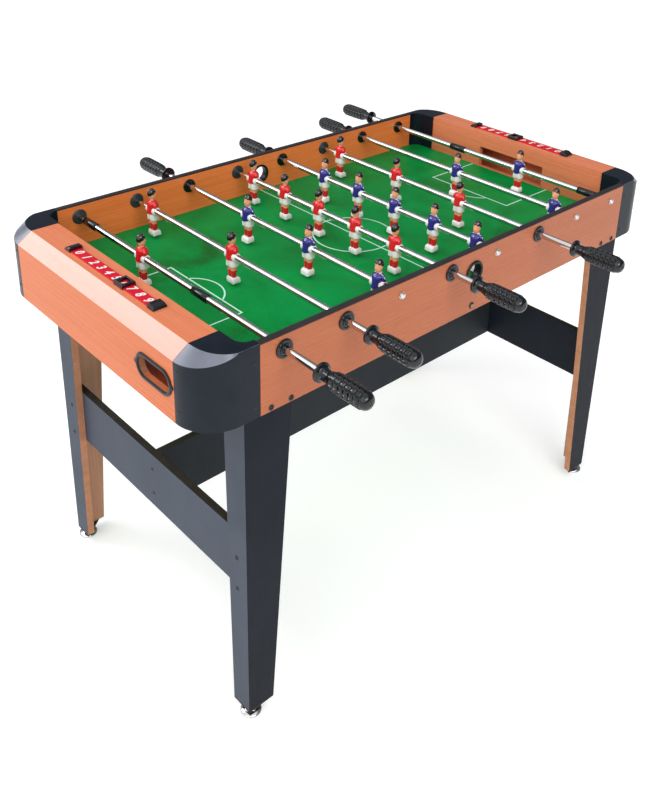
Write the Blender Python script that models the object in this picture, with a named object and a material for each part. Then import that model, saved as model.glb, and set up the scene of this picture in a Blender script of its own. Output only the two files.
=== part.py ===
"""A 4 ft foosball table: cabinet, playfield, eight telescopic player rods, score rails, legs and stretchers.

Frame: origin on the floor under the table's centre, +Z up, +X along the length towards the right-hand goal,
-Y towards the side of the red team's handles. The table looks the same turned half round about Z, apart from
how far its rods are pushed in and which team a rod belongs to.
"""
from math import cos, pi, radians, sin

import bmesh
import bpy
from mathutils import Vector

# ---- driving dimensions, in metres -------------------------------------------------------------------------
GAP = 0.0003                   # clearance between pieces that touch

LENGTH = 1.210                 # cabinet, over the two end panels
WIDTH = 0.650                  # cabinet, over the two side panels
TOP_Z = 0.780                  # top of the end boards, corner caps and side trims
SKIRT_Z = 0.650                # lower edge of the cabinet panels
FIELD_Z = 0.693                # playing surface
ROD_Z = 0.753                  # axis of every rod
WALL = 0.012                   # thickness of every cabinet board

END_BOX = 0.081                # width of the flat-topped box behind each goal wall
CHAMFER_X = 0.028              # sloping strip between an end panel and its top board
CHAMFER_Z = 0.020
CAP_ALONG_SIDE = 0.1075        # how far a corner cap runs along the side
CAP_ALONG_END = 0.070          # and along the end
CAP_SKIN = 0.003
CAP_LEVEL = 0.04               # share of the chamfer left where it has died out
CAP_FILLET = 0.022             # inside corner of the cap
CAP_STEPS = 9                  # sections round a cap's corner
CAP_START = 0.1                # the first of them, in steps past the end face
CAP_FADE = 0.7                 # below 1 the cap's shoulder stays low and rises late towards the side

FIELD_THICK = 0.004
GOAL_WIDTH = 0.190
GOAL_TOP_Z = 0.7437
TRAY_THICK = 0.004
TRAY_HIGH_Z = 0.684            # ball tray at the end away from the ball return
TRAY_LOW_Z = 0.668             # ball tray at the ball return

ENTRY_Z = 0.7325               # ball entry holes, at mid-length of both side panels
ENTRY_HOLE_R = 0.0200
RETURN_Y = 0.200               # ball return openings, off the table's centre line
RETURN_Z = 0.711
RETURN_HALF_LENGTH = 0.046     # oval hole in the end panel
RETURN_HALF_HEIGHT = 0.0195

TRIM_ROUND = 0.001             # rounded edges of the strip on each side panel
TONGUE_X = 0.530               # how far a side panel reaches into its caps
TONGUE_Y = 0.014               # how far an end panel reaches into its caps

ROD_PITCH = 0.129
TUBE_R = 0.00635
TUBE_BORE_R = 0.0050
GUIDE_R = 0.0040
BUSH_BORE_R = 0.0071
BUSH_R = 0.0105
BUSH_HOLE_R = 0.0115
BUSH_OUT_FLANGE_R = 0.0165
BUSH_IN_FLANGE_R = 0.0150
DISC_R = 0.0155
DISC_THICK = 0.0030
STUD_HOLE_R = 0.0048

MAN_HEAD = 0.047               # above the rod's axis
MAN_FOOT = 0.055               # below the rod's axis
HUB_HALF = 0.0155              # half the width of a man across the rod

HANDLE_LENGTH = 0.106
HANDLE_GRIP_DEPTH = 0.062      # how far the tube goes into the handle

SCORE_X = 0.5545               # centre line of each score rail
SCORE_PITCH = 0.0249           # from one number to the next
SCORE_WIDTH = 0.021
SCORE_HALF_LENGTH = 0.1285     # strip alone
SCORE_THICK = 0.0025
STOP_LENGTH = 0.018
SLIDER_HALF_LENGTH = 0.0140
SLIDER_HALF_WIDTH = 0.0130
SLIDER_HEIGHT = 0.0085

LEG_X = 0.520                  # outer faces of the L-shaped legs
LEG_Y = WIDTH / 2 - WALL - 0.0005
LEG_BOARD = 0.015
LEG_FOOT_Z = 0.0205            # lower edge of the leg boards
LEG_PLATE = 0.0040             # three-cornered plate that closes a leg's lower end
LEG_TOP_Z = 0.688
LEG_END_TOP, LEG_END_LOW = 0.056, 0.045        # width of the board that faces the end
LEG_SIDE_TOP, LEG_SIDE_LOW = 0.099, 0.055      # width of the board that faces the side
FOOT_R = 0.0235
FOOT_STEM_R = 0.0055
FOOT_DISC_THICK = 0.0075
STRETCHER_LOW_Z, STRETCHER_TOP_Z = 0.270, 0.390

HALF_L, HALF_W = LENGTH / 2, WIDTH / 2
GOAL_X = HALF_L - END_BOX      # inner face of each goal wall
SIDE_IN = HALF_W - WALL        # inner face of each side panel

# Rods by number of men: distance between men, half of the travel, from the middle man to the handle's flange,
# and from the middle man to the tube's free end.
ROW = {
    1: dict(pitch=0.000, travel=0.095, flange=0.489, free=0.2095),
    2: dict(pitch=0.269, travel=0.155, flange=0.498, free=0.1500),
    3: dict(pitch=0.186, travel=0.105, flange=0.475, free=0.2015),
    5: dict(pitch=0.109, travel=0.075, flange=0.417, free=0.2335),
}
SLEEVE_AT = 0.185              # goalie rods: rubber sleeves either side of the man
SLEEVE_HALF = 0.0225
SLEEVE_R = 0.0088

# Rods from the left end to the right: team, line, men, where the middle of the men stands along Y.
RODS = [
    ("red", "goalie", 1, 0.080), ("red", "defence", 2, 0.117), ("blue", "attack", 3, -0.082),
    ("red", "midfield", 5, 0.036), ("blue", "midfield", 5, -0.055), ("red", "attack", 3, 0.066),
    ("blue", "defence", 2, -0.136), ("blue", "goalie", 1, -0.080),
]
SCORES = {"left": 6, "right": 5}               # where each score slider rests
ENDS = {"left": -1, "right": 1}
SIDES = {"near": -1, "far": 1}

MATERIALS = {                  # base colour, roughness, metallic
    "wood_laminate": ((0.72, 0.26, 0.11), 0.45, 0.0),
    "green_field": ((0.02, 0.26, 0.07), 0.55, 0.0),
    "black_moulding": ((0.030, 0.037, 0.048), 0.50, 0.0),
    "slate_board": ((0.070, 0.080, 0.095), 0.55, 0.0),
    "chrome": ((0.80, 0.80, 0.81), 0.12, 1.0),
    "gloss_black": ((0.012, 0.012, 0.014), 0.20, 0.0),
    "red_team": ((0.70, 0.02, 0.02), 0.30, 0.0),
    "blue_team": ((0.03, 0.03, 0.25), 0.30, 0.0),
    "score_red": ((0.70, 0.02, 0.02), 0.30, 0.0),
}


# ---- helpers ------------------------------------------------------------------------------------------------
def clear_scene():
    for obj in list(bpy.data.objects):
        bpy.data.objects.remove(obj, do_unlink=True)


def material(name):
    found = bpy.data.materials.get(name)
    if found:
        return found
    colour, rough, metal = MATERIALS[name]
    made = bpy.data.materials.new(name)
    made.use_nodes = True
    shader = made.node_tree.nodes["Principled BSDF"]
    shader.inputs["Base Color"].default_value = (*colour, 1.0)
    shader.inputs["Roughness"].default_value = rough
    shader.inputs["Metallic"].default_value = metal
    return made


def mesh_object(name, verts, faces, mat, smooth=None):
    """One object from points and faces, its faces turned outwards; smooth is the sharp angle in degrees."""
    mesh = bpy.data.meshes.new(name)
    mesh.from_pydata([tuple(v) for v in verts], [], faces)
    bm = bmesh.new()
    bm.from_mesh(mesh)
    bmesh.ops.recalc_face_normals(bm, faces=bm.faces)
    bm.to_mesh(mesh)
    bm.free()
    if smooth:
        mesh.shade_smooth()
        mesh.set_sharp_from_angle(angle=radians(smooth))
    mesh.materials.append(material(mat))
    obj = bpy.data.objects.new(name, mesh)
    bpy.context.scene.collection.objects.link(obj)
    return obj


def loft(sections):
    """Points and faces of a closed solid through equal rings of points, capped at both ends."""
    count = len(sections[0])
    verts = [p for ring in sections for p in ring]
    faces = [list(range(count)), list(range(len(verts) - count, len(verts)))]
    for row in range(len(sections) - 1):
        for i in range(count):
            j = (i + 1) % count
            low, high = row * count, (row + 1) * count
            faces.append([low + i, low + j, high + j, high + i])
    return verts, faces


def ring_sweep(stations):
    """Points and faces of a closed ring: each station is the same closed outline at another size or depth."""
    count = len(stations[0])
    verts = [p for ring in stations for p in ring]
    faces = []
    for row in range(len(stations)):
        low, high = row * count, (row + 1) % len(stations) * count
        for i in range(count):
            j = (i + 1) % count
            faces.append([low + i, low + j, high + j, high + i])
    return verts, faces


def box(x0, x1, y0, y1, z0, z1):
    """Points and faces of a plain board between two corners."""
    return loft([[(x0, y0, z), (x1, y0, z), (x1, y1, z), (x0, y1, z)] for z in (z0, z1)])


def circle(radius, y, x=0.0, z=0.0, sides=12, turn=0.0):
    """A ring of points round an axis parallel to Y."""
    return [(x + radius * cos(turn + 2 * pi * i / sides), y, z + radius * sin(turn + 2 * pi * i / sides))
            for i in range(sides)]


def turned(profile, x=0.0, z=0.0, sides=12):
    """Points and faces turned round an axis parallel to Y from (radius, y) points; radius 0 closes an end."""
    verts, rings, faces = [], [], []
    for radius, y in profile:
        ring = [(x, y, z)] if radius == 0 else circle(radius, y, x, z, sides)
        rings.append(range(len(verts), len(verts) + len(ring)))
        verts += ring
    closed = profile[0][0] > 0
    pairs = list(zip(rings, rings[1:])) + ([(rings[-1], rings[0])] if closed else [])
    for low, high in pairs:
        for i in range(sides):
            j = (i + 1) % sides
            if len(low) == 1:
                faces.append([low[0], high[j], high[i]])
            elif len(high) == 1:
                faces.append([low[i], low[j], high[0]])
            else:
                faces.append([low[i], low[j], high[j], high[i]])
    return verts, faces


def tidy_mesh(obj):
    """Welds points a cut leaves on top of each other and dissolves the slivers between them."""
    bm = bmesh.new()
    bm.from_mesh(obj.data)
    bmesh.ops.remove_doubles(bm, verts=bm.verts, dist=1e-6)
    bmesh.ops.dissolve_degenerate(bm, edges=bm.edges, dist=1e-6)
    bm.to_mesh(obj.data)
    bm.free()


def triangulate(obj):
    bm = bmesh.new()
    bm.from_mesh(obj.data)
    bmesh.ops.triangulate(bm, faces=bm.faces)
    bm.to_mesh(obj.data)
    bm.free()


def combine(target, others, operation):
    """Joins or cuts target with other objects, applies the result and removes the others."""
    for other in others:
        triangulate(other)
        step = target.modifiers.new(operation.lower(), "BOOLEAN")
        step.operation = operation
        step.solver = "EXACT"
        step.object = other
    graph = bpy.context.evaluated_depsgraph_get()
    result = bpy.data.meshes.new_from_object(target.evaluated_get(graph))
    target.modifiers.clear()
    old, target.data = target.data, result
    bpy.data.meshes.remove(old)
    for other in others:
        bpy.data.objects.remove(other, do_unlink=True)
    tidy_mesh(target)
    return target


def tool(name, verts_faces, mat="chrome"):
    return mesh_object(name, *verts_faces, mat)


def empty(name, location, parent=None):
    made = bpy.data.objects.new(name, None)
    made.location = location
    bpy.context.scene.collection.objects.link(made)
    made.parent = parent
    return made


def rod_x(index):
    return (index - (len(RODS) - 1) / 2) * ROD_PITCH


def hand(team):
    """-1 where a team's handles are on the near side, +1 on the far side."""
    return -1 if team == "red" else 1


# ---- cabinet ------------------------------------------------------------------------------------------------
def side_panel(side, sign):
    """A board with a tongue into each corner cap, holes for its bushes and studs, and the ball entry."""
    face, inner = HALF_W, SIDE_IN
    end = HALF_L - CAP_ALONG_SIDE + GAP
    tongue = TONGUE_X
    hidden = face - CAP_SKIN - GAP               # the outer face where a cap covers it
    outline = [
        (-tongue, inner + 0.0005), (-end, inner + 0.0005), (-end, inner), (end, inner), (end, inner + 0.0005),
        (tongue, inner + 0.0005), (tongue, hidden), (end - 2 * GAP, hidden), (end - 2 * GAP, face),
        (-end + 2 * GAP, face), (-end + 2 * GAP, hidden), (-tongue, hidden),
    ]
    top = TOP_Z - CAP_SKIN - GAP
    panel = mesh_object(f"side_panel_{side}",
                        *loft([[(x, sign * y, z) for x, y in outline] for z in (SKIRT_Z, top)]), "wood_laminate")
    cuts = []
    for index, (team, line, _, _) in enumerate(RODS):
        radius = BUSH_HOLE_R if hand(team) == sign else STUD_HOLE_R
        ends = (sign * (inner - 0.01), sign * (face + 0.01))
        cuts.append(tool(f"cut_{team}_{line}", loft([circle(radius, y, rod_x(index), ROD_Z) for y in ends])))
    ends = (sign * (inner - 0.01), sign * (face + 0.01))
    cuts.append(tool("cut_entry", loft([circle(ENTRY_HOLE_R, y, 0, ENTRY_Z, 16) for y in ends])))
    return combine(panel, cuts, "DIFFERENCE")


def end_profile(inset, inner_inset):
    """Outline of the folded end board in X and Z, measured inwards from the end face, for the +X end."""
    x0, top = HALF_L - inset, TOP_Z - inset
    low = SKIRT_Z + inner_inset
    slope = inset * 0.45
    board = TOP_Z - WALL + inner_inset
    return [
        (x0, low), (x0, TOP_Z - CHAMFER_Z - slope), (HALF_L - CHAMFER_X - slope, top),
        (GOAL_X + inner_inset, top), (GOAL_X + inner_inset, board),
        (HALF_L - CHAMFER_X - 0.006, board), (HALF_L - WALL + inner_inset, TOP_Z - CHAMFER_Z - 0.006),
        (HALF_L - WALL + inner_inset, low),
    ]


def oval(half_length, half_height, x, y=0.0, z=0.0, sides=32):
    """A long round-ended outline in a plane across X."""
    straight = half_length - half_height
    points = []
    for i in range(sides):
        angle = 2 * pi * (i + 0.5) / sides
        shift = straight if cos(angle) > 0 else -straight
        points.append((x, y + shift + half_height * cos(angle), z + half_height * sin(angle)))
    return points


def end_panel(end, sign):
    """The outer panel, sloping strip and top board of one end, with the oval ball return hole."""
    seen = HALF_W - CAP_ALONG_END - GAP
    tongue = seen + TONGUE_Y
    full, small = end_profile(0, 0), end_profile(0.006, GAP)
    places = [(-tongue, small), (-seen, small), (-seen, full), (seen, full), (seen, small), (tongue, small)]
    sections = [[(sign * x, y, z) for x, z in outline] for y, outline in places]
    panel = mesh_object(f"end_panel_{end}", *loft(sections), "wood_laminate")
    hole = [oval(RETURN_HALF_LENGTH, RETURN_HALF_HEIGHT, sign * x, sign * RETURN_Y, RETURN_Z)
            for x in (HALF_L + 0.01, HALF_L - WALL - 0.01)]
    return combine(panel, [tool("cut_return", loft(hole))], "DIFFERENCE")


def goal_wall(end, sign):
    """The inner end wall with its goal mouth, and the sloping ball tray fixed behind it."""
    outer, span = GOAL_X + WALL, SIDE_IN - GAP
    half = GOAL_WIDTH / 2
    outline = [(-span, SKIRT_Z), (span, SKIRT_Z), (span, TOP_Z - WALL - GAP), (-span, TOP_Z - WALL - GAP)]
    wall = mesh_object(f"goal_wall_{end}",
                       *loft([[(sign * x, y, z) for y, z in outline] for x in (GOAL_X, outer)]), "wood_laminate")
    mouth = box(*sorted((sign * (GOAL_X - 0.01), sign * (outer + 0.01))), -half, half, FIELD_Z, GOAL_TOP_Z)
    combine(wall, [tool("cut_mouth", mouth)], "DIFFERENCE")
    back = HALF_L - WALL - GAP
    reach = HALF_W - CAP_ALONG_END - 0.002
    slope = []
    for y, z in ((-sign * reach, TRAY_HIGH_Z), (sign * reach, TRAY_LOW_Z)):
        slope.append([(sign * (outer - 0.002), y, z), (sign * back, y, z),
                      (sign * back, y, z - TRAY_THICK), (sign * (outer - 0.002), y, z - TRAY_THICK)])
    return combine(wall, [tool("tray", loft(slope), "wood_laminate")], "UNION")


def playfield():
    x, y = GOAL_X - GAP, SIDE_IN - GAP
    return mesh_object("playfield", *box(-x, x, -y, y, FIELD_Z - FIELD_THICK, FIELD_Z), "green_field")


def corner_cap(end, sx, side, sy):
    """A moulded cap over one corner: outer skin, top and inner skin, open below and where the boards go in."""
    centre_x, centre_y = HALF_L - CAP_ALONG_END, HALF_W - CAP_ALONG_END
    inner_x, inner_y = GOAL_X - GAP, SIDE_IN - GAP
    skin = CAP_SKIN - GAP
    fillet = Vector((inner_x - skin - CAP_FILLET, inner_y - skin - CAP_FILLET))
    end_face, side_face = Vector((1, 0)), Vector((0, 1))
    sections = [(Vector((HALF_L, centre_y)), end_face, Vector((inner_x - skin, centre_y)))]
    for step in range(CAP_STEPS + 1):
        angle = (step + CAP_START) / (CAP_STEPS + CAP_START) * pi / 2
        outward = Vector((cos(angle), sin(angle)))
        outer = Vector((centre_x, centre_y)) + outward * CAP_ALONG_END
        sections.append((outer, outward, fillet + outward * CAP_FILLET))
    last_x = HALF_L - CAP_ALONG_SIDE
    sections.append((Vector((last_x, HALF_W)), side_face, Vector((last_x, inner_y - skin))))
    rings = []
    for outer, outward, inner in sections:
        share = max(outward.x, CAP_LEVEL)
        wide, deep = CHAMFER_X * share, CHAMFER_Z * max(outward.x, 0.01) ** CAP_FADE
        top_in = outer - outward * wide
        skin_in = outer - outward * CAP_SKIN
        under = outer - outward * (wide + CAP_SKIN * (1.45 - share))
        behind = inner + outward * skin
        ring = [
            (*outer, SKIRT_Z), (*outer, TOP_Z - deep), (*top_in, TOP_Z), (*inner, TOP_Z), (*inner, FIELD_Z + GAP),
            (*behind, FIELD_Z + GAP), (*behind, TOP_Z - CAP_SKIN), (*under, TOP_Z - CAP_SKIN),
            (*skin_in, TOP_Z - deep - CAP_SKIN * 0.75), (*skin_in, SKIRT_Z),
        ]
        rings.append([(sx * x, sy * y, z) for x, y, z in ring])
    return mesh_object(f"corner_cap_{end}_{side}", *loft(rings), "black_moulding", smooth=30)


def edge_trim(side, sign):
    """A flat strip with rounded edges along the top of a side panel."""
    end = HALF_L - CAP_ALONG_SIDE - GAP
    outer, inner, low = HALF_W + GAP, SIDE_IN - GAP, TOP_Z - CAP_SKIN
    outline = [(outer, low), (outer, TOP_Z - TRIM_ROUND), (outer - TRIM_ROUND, TOP_Z),
               (inner + TRIM_ROUND, TOP_Z), (inner, TOP_Z - TRIM_ROUND), (inner, low)]
    rings = [[(x, sign * y, z) for y, z in outline] for x in (-end, end)]
    return mesh_object(f"edge_trim_{side}", *loft(rings), "black_moulding")


def ball_entry_cup(side, sign):
    """A flanged ring lining the ball entry hole."""
    outer, inner = HALF_W, SIDE_IN
    profile = [
        (0.0178, outer - 0.004), (0.0190, outer + 0.0030), (0.0225, outer + 0.0030), (0.0235, outer + 0.0012),
        (0.0235, outer + GAP), (0.0192, outer + GAP), (0.0192, inner - 0.001), (0.0178, inner - 0.001),
    ]
    verts, faces = turned([(r, sign * y) for r, y in profile], 0, ENTRY_Z, 16)
    return mesh_object(f"ball_entry_cup_{side}", verts, faces, "gloss_black", smooth=30)


def ball_return_bezel(end, sign):
    """The flat oval frame round a ball return, with a screw lug at each end."""
    face = HALF_L + GAP
    profile = [                                  # how far outside the hole's edge, and the depth in X
        (-0.0015, face), (0.0040, face), (0.0040, face + 0.0012), (0.0028, face + 0.0022),
        (-0.0005, face + 0.0022), (-0.0015, face + 0.0010),
    ]
    stations = [oval(RETURN_HALF_LENGTH + grow, RETURN_HALF_HEIGHT + grow, sign * x, sign * RETURN_Y, RETURN_Z)
                for grow, x in profile]
    bezel = mesh_object(f"ball_return_bezel_{end}", *ring_sweep(stations), "black_moulding", smooth=30)
    lugs = []
    for way in (-1, 1):
        y = sign * RETURN_Y + way * (RETURN_HALF_LENGTH + 0.0035)
        depths = [sign * face, sign * (face + 0.0018)]
        ring = [[(x, y + 0.0052 * cos(2 * pi * i / 8), RETURN_Z + 0.0052 * sin(2 * pi * i / 8)) for i in range(8)]
                for x in depths]
        lugs.append(tool("lug", loft(ring), "black_moulding"))
    return combine(bezel, lugs, "UNION")


# ---- score counters -----------------------------------------------------------------------------------------
def score_place(end, number):
    """Y of a number on a rail; 0 is at the far end of the left rail and at the near end of the right rail."""
    return -ENDS[end] * (4.5 - number) * SCORE_PITCH


def score_rail(end, sign):
    """A numbered strip on the end board with a wedge-shaped stop at both ends."""
    x, low = sign * SCORE_X, TOP_Z + GAP
    half = SCORE_WIDTH / 2
    rail = mesh_object(f"score_rail_{end}", *box(x - half, x + half, -SCORE_HALF_LENGTH, SCORE_HALF_LENGTH,
                                                 low, low + SCORE_THICK), "score_red")
    stops = []
    for way in (-1, 1):
        y = way * (SCORE_HALF_LENGTH - 0.002)
        wide = SLIDER_HALF_WIDTH
        outline = [(y, low), (y, low + 0.0085), (y + way * 0.010, low + 0.0085),
                   (y + way * STOP_LENGTH, low + 0.0030), (y + way * STOP_LENGTH, low)]
        rings = [[(edge, along, z) for along, z in outline] for edge in (x - wide, x + wide)]
        stops.append(tool("stop", loft(rings), "gloss_black"))
    return combine(rail, stops, "UNION")


def score_slider(end, sign):
    """An open window frame that straddles the strip and slides along it."""
    number = SCORES[end]
    x, y, low = sign * SCORE_X, score_place(end, number), TOP_Z + GAP
    long, wide = SLIDER_HALF_LENGTH, SLIDER_HALF_WIDTH
    top = low + SLIDER_HEIGHT
    holder = empty(f"score_slide_axis_{end}", (x, y, low))
    outline = [(-wide, 0), (wide, 0), (wide, SLIDER_HEIGHT - 0.002), (wide - 0.002, SLIDER_HEIGHT),
               (-wide + 0.002, SLIDER_HEIGHT), (-wide, SLIDER_HEIGHT - 0.002)]
    slider = mesh_object(f"score_slider_{end}",
                         *loft([[(a, b, c) for a, c in outline] for b in (-long, long)]), "gloss_black")
    strip = SCORE_WIDTH / 2 + 2 * GAP
    window = 0.0085
    cuts = [tool("channel", box(-strip, strip, -long - 0.01, long + 0.01, -0.01, SCORE_THICK + GAP)),
            tool("window", box(-window, window, -window, window, -0.01, top))]
    combine(slider, cuts, "DIFFERENCE")
    slider.parent = holder
    return slider


# ---- rods ---------------------------------------------------------------------------------------------------
def man_rings(facing):
    """Sections of one man from the foot up, about the rod's axis; facing is +1 for +X and -1 for -X."""
    levels = [                                   # height, half width along Y, back and front in X
        (-MAN_FOOT, 0.0100, -0.0060, 0.0115), (-0.0465, 0.0105, -0.0060, 0.0105),
        (-0.0420, 0.0075, -0.0055, 0.0058), (-0.0190, 0.0112, -0.0075, 0.0075),
        (-0.0095, 0.0112, -0.0080, 0.0080), (-0.0080, HUB_HALF, -0.0090, 0.0090),
        (0.0090, HUB_HALF, -0.0090, 0.0090), (0.0180, 0.0105, -0.0070, 0.0070),
        (0.0205, 0.0056, -0.0055, 0.0060), (0.0255, 0.0080, -0.0080, 0.0088),
        (0.0400, 0.0084, -0.0086, 0.0084), (MAN_HEAD, 0.0042, -0.0042, 0.0042),
    ]
    rings = []
    for z, half, back, front in levels:
        mid, side = (back + front) / 2, half * 0.75
        rings.append([(facing * x, y, z) for x, y in (
            (back, -side), (mid, -half), (front, -side), (front, side), (mid, half), (back, side))])
    return rings


def player_rod(name, men, team, holder):
    """The sliding tube with its men and, on a goalie rod, its rubber sleeves."""
    row, side = ROW[men], hand(team)
    handle_end = side * (row["flange"] + HANDLE_GRIP_DEPTH)
    free_end = -side * row["free"]
    rod = mesh_object(f"{name}_rod", *loft([circle(TUBE_R, y, turn=pi / 12)
                                                     for y in (free_end, handle_end)]), f"{team}_team")
    added = []
    for man in range(men):
        y = (man - (men - 1) / 2) * row["pitch"]
        rings = [[(a, b + y, c) for a, b, c in ring] for ring in man_rings(-side)]
        added.append(tool("man", loft(rings), f"{team}_team"))
    if men == 1:
        for at in (-SLEEVE_AT, SLEEVE_AT):
            added.append(tool("sleeve", loft([circle(SLEEVE_R, y) for y in (at - SLEEVE_HALF, at + SLEEVE_HALF)]),
                              "gloss_black"))
    combine(rod, added, "UNION")
    bore = [circle(TUBE_BORE_R, y, turn=pi / 12) for y in (free_end - 0.01 * side, handle_end + 0.01 * side)]
    combine(rod, [tool("bore", loft(bore))], "DIFFERENCE")
    rod.parent = holder
    return rod


def handle(name, men, team, holder):
    """A moulded grip: flange, neck, swollen body and domed end, with a blind bore for the tube."""
    side, flange = hand(team), ROW[men]["flange"]
    bore = TUBE_R + 2 * GAP
    profile = [                                  # radius, distance outwards from the flange's face
        (0.0000, HANDLE_LENGTH), (0.0080, HANDLE_LENGTH - 0.0012), (0.0128, 0.1005), (0.0152, 0.0950),
        (0.0158, 0.0850), (0.0155, 0.0550), (0.0145, 0.0340), (0.0104, 0.0200), (0.0100, 0.0090),
        (0.0165, 0.0050), (0.0165, 0.0000),
        (bore, 0.0000), (bore, HANDLE_GRIP_DEPTH + GAP), (0.0000, HANDLE_GRIP_DEPTH + GAP),
    ]
    grip = mesh_object(f"{name}_handle", *turned([(r, side * (flange + y)) for r, y in profile]),
                       "gloss_black", smooth=35)
    grip.parent = holder
    return grip


def bearing(name, team, holder):
    """The flanged bush in the side panel on the handle's side."""
    side = hand(team)
    outer, inner = HALF_W, SIDE_IN
    profile = [
        (BUSH_BORE_R, outer + 0.0060), (0.0125, outer + 0.0060), (BUSH_OUT_FLANGE_R, outer + 0.0025),
        (BUSH_OUT_FLANGE_R, outer + GAP), (BUSH_R, outer + GAP), (BUSH_R, inner - GAP),
        (BUSH_IN_FLANGE_R, inner - GAP), (BUSH_IN_FLANGE_R, inner - 0.0030), (BUSH_BORE_R, inner - 0.0030),
    ]
    bush = mesh_object(f"{name}_bearing", *turned([(r, side * y) for r, y in profile]), "gloss_black", smooth=35)
    bush.parent = holder
    return bush


def guide_rod(index, name, men, team):
    """The fixed inner rod: a stud through the far wall, a disc against the wall, and the rod inside the tube."""
    side, row = -hand(team), ROW[men]
    reach = row["free"] - row["travel"] - 0.060          # how far in the rod goes, from the table's centre line
    profile = [
        (0.0000, reach), (GUIDE_R, reach), (GUIDE_R, SIDE_IN - DISC_THICK), (DISC_R, SIDE_IN - DISC_THICK),
        (DISC_R, SIDE_IN - GAP), (GUIDE_R, SIDE_IN - GAP), (GUIDE_R, HALF_W + GAP), (0.0065, HALF_W + GAP),
        (0.0065, HALF_W + 0.0035), (0.0000, HALF_W + 0.0055),
    ]
    verts, faces = turned([(r, side * y) for r, y in profile], rod_x(index), ROD_Z)
    return mesh_object(f"{name}_guide_rod", verts, faces, "chrome", smooth=35)


# ---- legs ---------------------------------------------------------------------------------------------------
def leg(end, sx, side, sy):
    """Two tapered boards joined in an L, closed below by a three-cornered plate, on a levelling foot."""
    rings = []
    for z, across, along in ((LEG_FOOT_Z, LEG_END_LOW, LEG_SIDE_LOW), (LEG_TOP_Z, LEG_END_TOP, LEG_SIDE_TOP)):
        outline = [(0, 0), (along, 0), (along, LEG_BOARD), (LEG_BOARD, LEG_BOARD), (LEG_BOARD, across), (0, across)]
        rings.append([(sx * (LEG_X - x), sy * (LEG_Y - y), z) for x, y in outline])
    boards = mesh_object(f"leg_{end}_{side}", *loft(rings), "slate_board")
    x, y = sx * (LEG_X - LEG_BOARD), sy * (LEG_Y - LEG_BOARD)
    plate_z = LEG_FOOT_Z - LEG_PLATE
    corners = [(0, 0), (LEG_SIDE_LOW, 0), (LEG_SIDE_LOW, 0.003), (0.003, LEG_END_LOW), (0, LEG_END_LOW)]
    plate = [[(sx * (LEG_X - a), sy * (LEG_Y - b), z) for a, b in corners] for z in (plate_z, LEG_FOOT_Z + 0.001)]
    levels = [(FOOT_R - 0.003, 0.0), (FOOT_R, 0.002), (FOOT_R, 0.0045), (FOOT_STEM_R + 0.004, FOOT_DISC_THICK),
              (FOOT_STEM_R, FOOT_DISC_THICK + 0.001), (FOOT_STEM_R, plate_z + 0.002)]
    foot = [[(x + r * cos(2 * pi * i / 12), y + r * sin(2 * pi * i / 12), z) for i in range(12)] for r, z in levels]
    return combine(boards, [tool("plate", loft(plate)), tool("foot", loft(foot))], "UNION")


def end_stretcher(end, sign):
    outer = LEG_X - LEG_BOARD - GAP
    reach = LEG_Y - LEG_BOARD - GAP
    board = box(*sorted((sign * (outer - LEG_BOARD), sign * outer)), -reach, reach, STRETCHER_LOW_Z,
                STRETCHER_TOP_Z)
    return mesh_object(f"end_stretcher_{end}", *board, "slate_board")


def long_stretcher():
    reach = LEG_X - 2 * LEG_BOARD - 2 * GAP
    half = LEG_BOARD / 2
    return mesh_object("long_stretcher", *box(-reach, reach, -half, half, STRETCHER_LOW_Z, STRETCHER_TOP_Z),
                       "slate_board")


# ---- assembly -----------------------------------------------------------------------------------------------
def build():
    clear_scene()
    playfield()
    for side, sy in SIDES.items():
        side_panel(side, sy)
        edge_trim(side, sy)
        ball_entry_cup(side, sy)
    for end, sx in ENDS.items():
        end_panel(end, sx)
        goal_wall(end, sx)
        ball_return_bezel(end, sx)
        score_rail(end, sx)
        score_slider(end, sx)
        end_stretcher(end, sx)
        for side, sy in SIDES.items():
            corner_cap(end, sx, side, sy)
            leg(end, sx, side, sy)
    long_stretcher()
    for index, (team, line, men, middle) in enumerate(RODS):
        name = f"{team}_{line}"
        spin = empty(f"{name}_spin_axis", (rod_x(index), 0, ROD_Z))
        slide = empty(f"{name}_slide_axis", (0, middle, 0), spin)
        bearing(name, team, spin)
        player_rod(name, men, team, slide)
        handle(name, men, team, slide)
        guide_rod(index, name, men, team)


build()
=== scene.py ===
"""Looks of the foosball table: boards, moulded caps, chrome rods with their men, handles, counters and legs.

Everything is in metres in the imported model's frame: +X to the right end, -Y to the near side, +Z up.
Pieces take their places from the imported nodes' boxes. Outlines given in millimetres go through mm() or off().
"""
from math import atan2, cos, hypot, pi, radians, sin

import bmesh
import bpy
from mathutils import Matrix, Vector


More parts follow.
